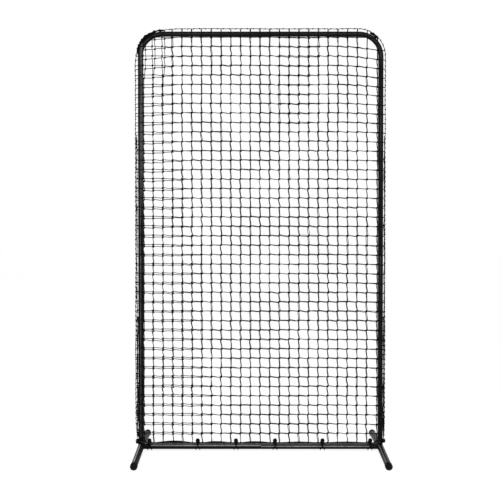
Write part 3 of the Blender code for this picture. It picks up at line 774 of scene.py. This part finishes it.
def joint_tubes():
    """Each joint's tubes, the outer one first. base_leg cuts the holes in its own stubs."""
    pairs = {
        "base": ["lower_upright"],
        "rail": ["bottom_rail"],
        "middle": ["upper_upright", "lower_upright"],
        "corner": ["top_tube", "upper_upright"],
    }
    joints = {}
    for kind, tubes in pairs.items():
        for word in SIDES:
            joints[f"{kind}_{word}"] = [f"{tube}_{word}" for tube in tubes]
    joints["rail_centre"] = ["bottom_rail_right", "bottom_rail_left"]
    joints["top_centre"] = ["top_tube_right", "top_tube_left"]
    return joints


def build_frame(cap_rubber, plated, sprung):
    """Fine tubes, caps and buttons in place of the faceted ones."""
    tubes = {}
    for word, side in SIDES.items():
        x = side * HALF_WIDTH
        steel = powder_coat(f"leg_{word}", LEG_HIGHLIGHT_FRONT, LEG_SPECULAR[side])
        holes = [button_place(f"{joint}_{word}") - in_frame(x, RAIL_HEIGHT) for joint in ("base", "rail")]
        tubes[f"base_leg_{word}"] = base_leg(f"leg_{word}", x, side, holes, steel)
        steel = powder_coat(f"upright_{word}")
        ends = in_frame(x, RAIL_HEIGHT + SHOULDER + SOCKET_GAP), in_frame(x, MIDDLE_JOINT)
        tubes[f"lower_upright_{word}"] = straight_tube(f"upright_low_{word}", *ends, Z_AXIS, True, steel)
        ends = in_frame(x, MIDDLE_JOINT + SOCKET_GAP), in_frame(x, CORNER_JOINT)
        tubes[f"upper_upright_{word}"] = straight_tube(f"upright_high_{word}", *ends, Z_AXIS, True, steel)
        tubes[f"top_tube_{word}"] = top_tube(f"corner_{word}", side, side < 0, steel)
        for end, way in (("front", -1), ("rear", 1)):
            cap = end_cap(f"cap_{end}_{word}", x, way, cap_rubber)
            settle(cap, "frame", f"end_cap_{end}_{word}")
    rail_end = HALF_WIDTH - SHOULDER - SOCKET_GAP
    for word, start, end in (("left", -rail_end, 0), ("right", SOCKET_GAP, rail_end)):
        steel = powder_coat(f"rail_{word}")
        ends = in_frame(start, RAIL_HEIGHT), in_frame(end, RAIL_HEIGHT)
        tubes[f"bottom_rail_{word}"] = straight_tube(f"rail_{word}", *ends, X_AXIS, word == "left", steel)
    for joint, names in joint_tubes().items():
        place = button_place(joint)
        for name in names:
            cut_button_hole(tubes[name], place)
        button = snap_button(f"button_{joint}", place, plated)
        settle(button, f"button_{joint}", f"snap_button_{joint}")
        leaf_spring(joint, sprung)
    for node, tube in tubes.items():
        settle(tube, "frame", node)


def settle(piece, body, node):
    """Puts a piece on its body and hides what it stands for."""
    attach(piece, body)
    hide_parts(node)


def leaf_spring(joint, material):
    """A folded leaf, copied from its solid in place with the spring steel finish."""
    name = f"leaf_spring_{joint}"
    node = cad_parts[name]
    mesh = node.data.copy()
    mesh.transform(node.matrix_world)
    mesh.materials.clear()
    leaf = add_piece(f"leaf_{joint}", mesh, material)
    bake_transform(leaf)
    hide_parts(name)


# Netting

def outside(x, z):
    """How far outside the tubes' middle line a point lies, and how far the seam does."""
    past_x = abs(x) - BEND_X
    past_z = z - BEND_Z
    if past_x > 0 and past_z > 0:
        reach = hypot(past_x, past_z)
        share = (past_z / reach) ** 2
        dip = seam_dip(x) * ramp(share, 0, 0.35)
        return reach - CORNER_RADIUS, SEAM_OUT_SIDE + (SEAM_OUT_TOP - SEAM_OUT_SIDE) * share - dip
    if past_z > 0 or past_z - past_x > 0:
        return z - TOP_HEIGHT, SEAM_OUT_TOP - seam_dip(x)
    return abs(x) - HALF_WIDTH, SEAM_OUT_SIDE + seam_flare(x, z)


def seam_flare(x, z):
    """The net stands further off the left upright than elsewhere."""
    return SEAM_FLARE * ramp(z, 0.06, 0.16) * ramp(z, 1.97, 1.92) if x < 0 else 0.0


def seam_dip(x):
    """The seam lies close over the upper left corner and climbs along the top."""
    return SEAM_DIP * ramp(x, 0.074 - BEND_X, -0.005 - BEND_X)


def net_depth(x, z):
    """Half the way between the panels, which lie on the tubes and close to the seam."""
    out, seam = outside(x, z)
    bend = seam - sqrt(seam**2 - NET_DEPTH**2)
    depth = NET_DEPTH * min(1, max(0, (seam - out) / (seam - bend)))
    gathered = max(0, (z - ROPE_HEIGHT) / GATHER_HEIGHT)
    return min(depth, ROPE_HALF_GAP + (NET_DEPTH - ROPE_HALF_GAP) * gathered)


def wander(x, z, seed, scale=5.0):
    """A smooth random value between about -1 and 1."""
    return noise.noise(Vector((x * scale, seed * 7.3, z * scale))) * 1.8


def ramp(value, start, end):
    """0 at start, 1 at end, smooth between."""
    t = min(1, max(0, (value - start) / (end - start)))
    return t * t * (3 - 2 * t)


def mesh_point(column, row, side):
    """A knot's place as the camera sees it in the frame's plane. side is -1 for the front."""
    edges = {1: FIRST_COLUMN_X, COLUMNS - 1: LAST_COLUMN_X}
    x = edges.get(column, SECOND_COLUMN_X + COLUMN_PITCH * (column - 2))
    z = FIRST_ROW_Z if row == 1 else SECOND_ROW_Z - ROW_PITCH * (row - 2)
    high = ramp(z, 0.2, 2.0)
    parted = max(0, min(1, (9.5 - 4.5 * high - column) / 4))
    if side < 0:
        z += FRONT_RISE * (1 - high) * parted
    else:
        z -= (BACK_DROP + BACK_DROP_ABOVE * high**2) * parted
        z -= BACK_SAG * ramp(abs(column - SAG_COLUMN), 3.2, 1.2) * ramp(z, 1.57, 1.66)
    sunk = max(0, (column - SINK_COLUMN) / SINK_SPREAD) ** 2 if row > 1 else 0
    z -= (SINK + SINK_ABOVE * ramp(z, 1.3, 2.05) ** 2) * sunk
    if side > 0:
        x += BACK_PULL * ramp(z, 1.83, 1.95) * ramp(column, 4.5, 3)
    spread = ramp(column, 0, 2) * ramp(column, COLUMNS, COLUMNS - 2)
    slow, fine = wander(x, z, 1 + side), wander(x, z, 5 + side, JITTER_SCALE)
    x += side * LAYER_SHIFT + spread * WANDER_X * slow + JITTER_X * fine
    slow, fine = wander(x, z, 9 + side), wander(x, z, 13 + side, JITTER_SCALE)
    z += side * LAYER_SHIFT * 0.6 + WANDER_Z * slow + JITTER_Z * fine
    return x, z


def place(x, z, side, lift=0.0):
    """The point of a panel that the camera sees at (x, z) of the frame's plane."""
    y = side * (net_depth(x, z) + lift)
    nearer = y / CAMERA_DISTANCE
    return Vector((x + (x - CAMERA_X) * nearer, y, z + (z - CAMERA_HEIGHT) * nearer))


def seam_crossing(start, end):
    """Where the way from start to end meets the seam."""
    low, high = 0.0, 1.0
    for _ in range(24):
        middle = (low + high) / 2
        x, z = (a + (b - a) * middle for a, b in zip(start, end))
        out, seam = outside(x, z)
        low, high = (low, middle) if out > seam - TWINE_RADIUS else (middle, high)
    return tuple(a + (b - a) * low for a, b in zip(start, end))


def strand(points, side, bow, sway, seed):
    """A twine through flat points of a panel. It bows between its knots and leans at them."""
    path = []
    for number, ((xa, za), (xb, zb)) in enumerate(zip(points, points[1:])):
        crosses_tube = any(outside(x, z)[0] > -ON_TUBE for x, z in ((xa, za), (xb, zb)))
        shared = noise.noise(Vector((seed * 1.37, number * 0.83, 4.1))) * 1.8
        swing = bow * (0.7 * shared + random.uniform(-0.5, 0.5))
        swerve = sway * (0.75 + 0.6 * shared + random.uniform(-0.25, 0.25))
        if crosses_tube:
            swing = swerve = 0
        length = max(hypot(xb - xa, zb - za), 0.001)
        for t in EDGE_SHARES if crosses_tube else CELL_SHARES:
            lean = (2 * t - 1) * min(1, t / LEAN_SHARE, (1 - t) / LEAN_SHARE)
            aside = (swing * sin(pi * t) + swerve * lean) / length
            x = xa + (xb - xa) * t + (zb - za) * aside
            z = za + (zb - za) * t - (xb - xa) * aside
            path.append(place(x, z, side))
    path.append(place(*points[-1], side))
    return path


def knot_template():
    """A tight sheet bend: a core with one slanting wrap."""
    shape = Shape()
    core = [(KNOT_RADIUS * sin(t), KNOT_HALF_LENGTH * cos(t)) for t in turns(0, 180, 4)[1:-1]]
    core = [(0, KNOT_HALF_LENGTH), *core, (0, -KNOT_HALF_LENGTH)]
    shape.turned(core, X_AXIS, Y_AXIS * KNOT_FLATNESS, 6)
    slant = Vector((0.72, 0, 0.7)) * KNOT_RADIUS
    back = Y_AXIS * KNOT_RADIUS * 0.86
    wrap = [slant * cos(t) + back * sin(t) for t in turns(0, 320, 8)]
    shape.cord(wrap, TIGHT_TWINE, 4, closed=True, side_axis=Vector((0.7, 0, -0.7)))
    return shape.points, shape.faces


def net_panel(name, side, material, knot):
    """A panel of knotted square mesh, from the seam down to the hem rope."""
    random.seed(11 + side)
    shape = Shape()
    grid = {}
    for column in range(1, COLUMNS):
        for row in range(1, ROWS):
            point = mesh_point(column, row, side)
            out, seam = outside(*point)
            if out < seam - SEAM_MARGIN:
                grid[column, row] = point
    for column in range(1, COLUMNS):
        line = [grid[column, row] for row in range(1, ROWS) if (column, row) in grid]
        x, z = line[0]
        line.insert(0, seam_crossing((x, z), (x, z + PAST_SEAM)))
        x = line[-1][0]
        foot = x + random.uniform(-FOOT_STRAY, FOOT_STRAY)
        line.append((foot, hem_height(x) + ROPE_RADIUS))
        shape.cord(strand(line, side, *COLUMN_SWAY, column), TWINE_RADIUS)
        hitch(shape, foot, side)
    for row in range(1, ROWS):
        line = [grid[column, row] for column in range(1, COLUMNS) if (column, row) in grid]
        x, z = line[0]
        line.insert(0, seam_crossing((x, z), (x - PAST_SEAM, z - EDGE_FALL)))
        x, z = line[-1]
        line.append(seam_crossing((x, z), (x + PAST_SEAM, z - EDGE_FALL)))
        shape.cord(strand(line, side, *ROW_SWAY, 50 + row), TWINE_RADIUS)
    for x, z in grid.values():
        turn = random.choice((0, pi / 2)) + random.uniform(-0.3, 0.3)
        lies_on_tube = outside(x, z)[0] > -TUBE_RADIUS - KNOT_RADIUS
        lift = KNOT_RADIUS * KNOT_FLATNESS - TWINE_RADIUS if lies_on_tube else KNOT_LIFT
        shape.add(knot, turned_at(place(x, z, side, lift), turn))
    selvage_slack(shape, side, knot)
    corner_gather(shape, side, knot)
    hem_bunch(shape, side)
    foot_gather(shape, side, knot)
    return shape.make(name, material)


def hitch(shape, x, side):
    """Two turns of twine that tie a column to the hem rope."""
    reach = ROPE_RADIUS + HITCH_TWINE
    path = []
    for k, turn in enumerate(turns(0, 720, 16)):
        along = x + HITCH_WIDTH * (k / 16 - 0.5)
        y = side * ROPE_HALF_GAP + reach * sin(turn)
        path.append(Vector((along, y, hem_height(x) + reach * cos(turn))))
    shape.cord(path, HITCH_TWINE, side_axis=X_AXIS)


def hem_bunch(shape, side):
    """The last meshes, bunched between the bungees on the hem rope and under it."""
    for number, (left, right) in enumerate(BAYS):
        bulge = BUNCH_BULGES[number]
        for layer in range(RAIL_LAYERS + BULGING_LAYERS * (bulge > 0)):
            inset = BUNCH_INSET + BUNCH_STAGGER * ((layer + number) % 3)
            width = right - left - 2 * inset
            steps = round(width / BUNCH_STEP)
            path = []
            for k in range(steps + 1):
                arch = sin(pi * k / steps)
                x = left + inset + width * k / steps
                if layer < RAIL_LAYERS:
                    y, z = bunch_on_rail(x, layer, side, arch)
                else:
                    y, z = bunch_on_rope(x, layer, side, arch, bulge)
                path.append(Vector((x, side * y, z)))
            shape.cord(path, LOOSE_TWINE)


def bunch_on_rail(x, layer, side, arch):
    """How far out and how high a twine lies between the rope and the rail."""
    y = RAIL_BUNCH_OUT + LAYER_PITCH * layer + 0.0006 * wander(x, layer, 71 + side, 22)
    on_rail = sqrt((TUBE_RADIUS + TWINE_RADIUS + GAP) ** 2 - y**2)
    return y, RAIL_HEIGHT + on_rail + arch * (RAIL_BUNCH_RISE + 0.0007 * wander(x, layer, 61 + side, 30))


def bunch_on_rope(x, layer, side, arch, bulge):
    """The same for a twine that bulges over the rope and is tucked in at its ends."""
    tuck = 1 - arch**0.3
    out = LAYER_PITCH * (layer - 3) - TUCK_IN * tuck + 0.0007 * wander(x, layer, 81 + side, 30)
    rise = bulge * arch**1.5 * (0.35 + 0.22 * (layer - 2)) - TUCK_DOWN * tuck
    return ROPE_HALF_GAP + out, hem_height(x) + ROPE_RADIUS * 0.7 + rise + 0.0004 * wander(x, layer, 91, 35)


def foot_gather(shape, side, knot):
    """The sleeve's mouth, bunched over the hem rope round the uprights."""
    for way, twines, swell, rise in FOOT_BUNCHES:
        for number in range(twines):
            height = WRAP_HEIGHT + rise + FOOT_PITCH * (number - 1.5)
            swollen = swell * sin(pi * (number + 0.5) / twines) * twines / 2
            reach = TUBE_RADIUS + 2 * ROPE_RADIUS + TWINE_RADIUS + FOOT_PLAY + swollen
            path = []
            for turn in turns(94, 2, 9):
                x = way * (HALF_WIDTH + reach * cos(turn))
                z = height + FOOT_WANDER * wander(turn, number, 101 + side * way, 3)
                path.append(Vector((x, side * reach * sin(turn), z)))
            shape.cord(path, LOOSE_TWINE, side_axis=Z_AXIS)
            for point in path[3 + number % 2 :: 3]:
                shape.add(knot, turned_at(point, number, size=0.75))


def selvage_slack(shape, side, knot):
    """Loose meshes that lie folded between each upright and the seam."""
    for way, inset in SLACK_INSETS.items():
        for number, (head, lift) in enumerate(SLACK_FOLDS):
            seed = 20 + number + 3 * side + 7 * way
            path = []
            z = SLACK_FOOT
            while z < head:
                seam = outside(way, z)[1]
                out = seam - inset + SLACK_WANDER * wander(way, z, seed, 12) - SLACK_LAYER * number
                x = way * (HALF_WIDTH + min(out, seam - SLACK_MARGIN))
                path.append(place(x, z, side, lift))
                z += ROW_PITCH / 4
            shape.cord(path, LOOSE_TWINE, 4)
            for point in path[2 + number :: 4]:
                if wander(point.x, point.z, seed, 40) > -0.1:
                    shape.add(knot, turned_at(point, seed, size=0.85))


def corner_gather(shape, side, knot):
    """The sleeve's square corners, bunched outside the frame's round ones."""
    for way, twines, first, last, opening, closing, lift in CORNER_BUNCHES:
        for number in range(twines):
            is_longest = number == LONGEST_TWINE
            start = first + opening * number
            end = LONGEST_END if is_longest else last - closing * number
            path = []
            for k, turn in enumerate(turns(start, end, 28)):
                ends = sin(pi * k / 28) ** (0.25 if is_longest else 0.4)
                swell = GATHER_SWELL + GATHER_STRAY * random.uniform(-1, 1)
                out = TUBE_RADIUS + TWINE_RADIUS + swell * ends * (0.2 + 0.11 * number) + lift
                reach = CORNER_RADIUS + out
                x = way * (BEND_X + reach * cos(turn))
                z = BEND_Z + reach * sin(turn)
                y = side * (0.0008 + 0.0011 * number + 0.001 * random.uniform(-1, 1))
                path.append(Vector((x, y, z)))
            shape.cord(path, TIGHT_TWINE, 4)
            for point in path[2 + number % 3 : -2 : 4]:
                shape.add(knot, turned_at(point, number + point.z * 40))


# Seam, hem and bungees

def seam_path():
    """Up the left side from the hem rope, over the top and down the right."""
    top = []
    for k in range(1, 22):
        x = BEND_X * (2 * k / 22 - 1)
        z = SEAM_Z - seam_dip(x) - SEAM_INSET + SEAM_WANDER * wander(x, 3, 34, 12)
        top.append(Vector((x, SEAM_WANDER * wander(x, 3, 33, 12), z)))
    return seam_side(-1) + top + seam_side(1)[::-1]


def seam_side(way):
    """From the foot up one side of the screen and round its corner."""
    foot_x = HALF_WIDTH + WRAP_RADIUS
    foot_z = WRAP_HEIGHT + ROPE_RADIUS + GAP
    points = [in_frame(way * foot_x, foot_z)]
    points.append(in_frame(way * (foot_x + SEAM_FOOT_OUT), foot_z + SEAM_FOOT_RISE))
    for k in range(2, 40):
        z = foot_z + (BEND_Z - foot_z) * k / 40
        x = SEAM_X + SEAM_WANDER * wander(way, z, 31, 9) - SEAM_INSET + seam_flare(way, z)
        points.append(Vector((way * x, SEAM_WANDER * wander(way, z, 32, 14), z)))
    for k, turn in enumerate(turns(0, 90, 12)):
        out = SEAM_OUT_SIDE + (SEAM_OUT_TOP - SEAM_OUT_SIDE) * sin(turn) ** 2 - SEAM_BEND_INSET
        reach = CORNER_RADIUS + out - seam_dip(way * BEND_X) * sin(min(1, k / 5) * pi / 2)
        points.append(in_frame(way * (BEND_X + reach * cos(turn)), BEND_Z + reach * sin(turn)))
    return points


def build_seam(material, knot):
    """The seam cord, and the twine round it that laces the panels together."""
    shape = Shape()
    path = smooth_path(seam_path(), 6)
    shape.cord(path, SEAM_CORE_RADIUS, 6)
    lacing = []
    travelled = 0.0
    for k in range(1, len(path) - 1):
        square = (path[k + 1] - path[k - 1]).cross(Y_AXIS).normalized()
        step = (path[k] - path[k - 1]).length
        parts = max(1, round(step / LACING_STEP))
        for part in range(parts):
            travelled += step / parts
            turn = 2 * pi * travelled / (ROW_PITCH / 2)
            way = cos(turn) * square + sin(turn) * Y_AXIS
            lacing.append(path[k - 1].lerp(path[k], part / parts) + LACING_REACH * way)
    shape.cord(lacing, LACING_RADIUS, 4)
    since_knot = 0.0
    for a, b in zip(path, path[1:]):
        since_knot += (b - a).length
        if since_knot > ROW_PITCH / 2:
            since_knot = 0.0
            shape.add(knot, turned_at(b - Z_AXIS * 0.0002, 0, size=0.72))
    settle(shape.make("seam", material), "frame", "seam_cord")


def hem_height(x):
    """The hem rope's height, drawn down at each bungee."""
    for left, right in BAYS:
        if left <= x <= right:
            return ROPE_HEIGHT + ROPE_LIFT * sin(pi * (x - left) / (right - left)) ** 2
    return ROPE_HEIGHT


def rope_path():
    """Along the front of the rail, round one upright, back behind and round the other."""
    wrap = []
    for turn in turns(0, 90, 6):
        wrap.append(Vector((HALF_WIDTH + WRAP_RADIUS * cos(turn), -WRAP_RADIUS * sin(turn), WRAP_HEIGHT)))
    wrap.append(Vector((HALF_WIDTH - TUBE_RADIUS - ROPE_RADIUS, -WRAP_RADIUS, WRAP_HEIGHT - WRAP_FALL)))
    places = [-HALF_WIDTH + ROPE_TURN_IN]
    for left, right in BAYS:
        places += [left + (right - left) * step / 6 for step in range(6)]
    places += [BUNGEE_X[-1], HALF_WIDTH - ROPE_TURN_IN]
    run = [Vector((x, -ROPE_HALF_GAP, hem_height(x))) for x in places]
    left_wrap = [Vector((-p.x, p.y, p.z)) for p in wrap]
    front = left_wrap + run + wrap[::-1]
    back = [Vector((p.x, -p.y, p.z)) for p in front[-2:0:-1]]
    return front + back


def build_hem(material):
    """The hem rope, laid from three strands."""
    coarse = smooth_path(rope_path(), 8, closed=True)
    path = []
    for point, after in zip(coarse, coarse[1:] + coarse[:1]):
        parts = max(1, round((after - point).length / (ROPE_LAY / 9)))
        path += [point.lerp(after, part / parts) for part in range(parts)]
    total = sum((path[k] - path[k - 1]).length for k in range(len(path)))
    lays = round(total / ROPE_LAY)
    shape = Shape()
    strand_radius = ROPE_RADIUS * 0.5
    for number in range(3):
        twisted = []
        travelled = 0.0
        for k, (point, after) in enumerate(zip(path, path[1:] + path[:1])):
            along = (after - path[k - 1]).normalized()
            square = along.cross(Z_AXIS).normalized()
            turn = 2 * pi * (lays * travelled / total + number / 3)
            way = cos(turn) * square + sin(turn) * square.cross(along)
            twisted.append(point + (ROPE_RADIUS - strand_radius) * way)
            travelled += (after - point).length
        shape.cord(twisted, strand_radius, 6, closed=True)
    settle(shape.make("hem", material), "frame", "hem_rope")


def elastic_route(pull):
    """The loop about the rail's axis, as the solid has it."""
    wrap = TUBE_RADIUS + ELASTIC_RADIUS + ELASTIC_PLAY
    over = TUBE_RADIUS + 2 * ROPE_RADIUS + ELASTIC_RADIUS + ELASTIC_PLAY
    ball = Vector((0, -BALL_FORWARD, BALL_UP))
    inside = ball - pull * (BALL_HOLE_FLOOR + GAP + ELASTIC_RADIUS / 2)
    mouth = ball - pull * (BALL_RADIUS + GAP)
    halves = []
    for side, gaps in ((-1, (0, 0, 0)), (1, CROSSING_GAPS)):
        half = [point + X_AXIS * side * ELASTIC_APART for point in (inside, mouth)]
        for (across, forward, up), gap in zip(ELASTIC_FRONT, gaps):
            half.append(Vector((-side * across, -wrap - forward - gap, up)))
        for turn in turns(100, 300, 12)[1:]:
            half.append(Vector((-side * UNDER_APART, -wrap * sin(turn), wrap * cos(turn))))
        half += [Vector((-side * across, -forward, over - down)) for across, forward, down in ELASTIC_OVER]
        halves.append(half)
    return halves[0] + halves[1][-2::-1]


def build_bungees(plastic, cover):
    """Balls with a moulding line and a mouth, and the loops that they pull."""
    pull = Vector((0, -sin(BALL_TILT), cos(BALL_TILT)))
    edge = degrees(acos(BALL_HOLE_RADIUS / BALL_RADIUS))
    profile = [(0, -BALL_HOLE_FLOOR), (BALL_HOLE_RADIUS - EDGE_BREAK, -BALL_HOLE_FLOOR)]
    profile += arc((0, 0), BALL_RADIUS, -edge, -2, 12) + [(BALL_RADIUS + MOULDING_LINE, 0)]
    profile += arc((0, 0), BALL_RADIUS, 2, 88, 14) + [(0, BALL_RADIUS)]
    for number, x in enumerate(BUNGEE_X, 1):
        rail = in_frame(x, RAIL_HEIGHT)
        centre = Vector((x, -BALL_FORWARD, RAIL_HEIGHT + BALL_UP))
        ball = lathe(f"ball_{number}_shell", profile, plastic, turned_at(centre, BALL_TILT, "X"), 40)
        settle(ball, f"ball_{number}", f"bungee_ball_{number}")
        shape = Shape()
        route = [point + rail for point in elastic_route(pull)]
        shape.cord(smooth_path(route, 4), COVER_RADIUS, 10, side_axis=X_AXIS)
        loop = shape.make(f"elastic_{number}", cover)
        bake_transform(loop)
        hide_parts(f"bungee_loop_{number}")


# Surroundings

def add_camera():
    data = bpy.data.cameras.new("camera")
    data.sensor_width = 36
    data.lens = 66.8
    data.shift_y = -0.095
    turn = (pi / 2 - CAMERA_TILT, 0, 0)
    bpy.context.scene.camera = stand(data, (CAMERA_X, -CAMERA_DISTANCE, CAMERA_HEIGHT), turn)


def stand(data, place, turn):
    """Puts the camera or the lamp in the scene."""
    piece = bpy.data.objects.new(data.name, data)
    piece.location = place
    piece.rotation_euler = turn
    bpy.context.scene.collection.objects.link(piece)
    return piece


def add_softbox():
    data = bpy.data.lights.new("front_softbox", "AREA")
    data.shape = "RECTANGLE"
    data.size = 2.4
    data.size_y = 0.25
    data.energy = 75
    aim = Vector((0, 0, 0.4)) - Vector(LAMP_PLACE)
    stand(data, LAMP_PLACE, aim.to_track_quat("-Z", "Y").to_euler())


def add_world():
    """Soft light from all round, and a white background."""
    world = bpy.data.worlds.new("studio")
    n = Nodes(world)
    lit, white = (
        n.new("Background", {"Color": (1, 1, 1, 1), "Strength": strength}).outputs["Background"]
        for strength in (0.55, 1.0)
    )
    n.mix(n.seen_directly(), lit, white, "World Output")
    bpy.context.scene.world = world


def add_floor():
    """A pale floor that shows nearly white and keeps a soft shadow."""
    n = Finish("floor", (0.9, 0.9, 0.9), 0.9)
    glow = n.new("Emission", {"Strength": 1.15}).outputs["Emission"]
    share = n.maths("MULTIPLY", n.seen_directly(), FLOOR_GLOW_SHARE)
    n.mix(share, n.shader.outputs["BSDF"], glow, "Material Output")
    shape = Shape()
    corners = ((-1, -1), (1, -1), (1, 1), (-1, 1))
    shape.points = [Vector((x * FLOOR_HALF, y * FLOOR_HALF, 0)) for x, y in corners]
    shape.faces = [(0, 1, 2, 3)]
    shape.make("floor", n.material)


def build():
    add_camera()
    # pale grey for the painted highlight on the lowest twine and rope by the rail
    painted_highlight_grey = (0.4, 0.4, 0.39)
    twine = twisted_twine("net_twine", 260, (0.002, 0.002, 0.0021), (0.0105, 0.0105, 0.0108), painted_highlight_grey)
    rope = twisted_twine("rope_fibre", 200, (0.008, 0.008, 0.0082), (0.075, 0.075, 0.076), painted_highlight_grey)
    knot = knot_template()
    build_frame(rubber(), plated_steel(), spring_steel())
    for word, side in (("front", -1), ("back", 1)):
        settle(net_panel(f"netting_{word}", side, twine, knot), "frame", f"net_{word}")
    build_seam(rope, knot)
    build_hem(rope)
    build_bungees(ball_plastic(), braided_cover())
    add_softbox()
    add_world()
    add_floor()
    bpy.context.scene.view_settings.view_transform = "Standard"


build()
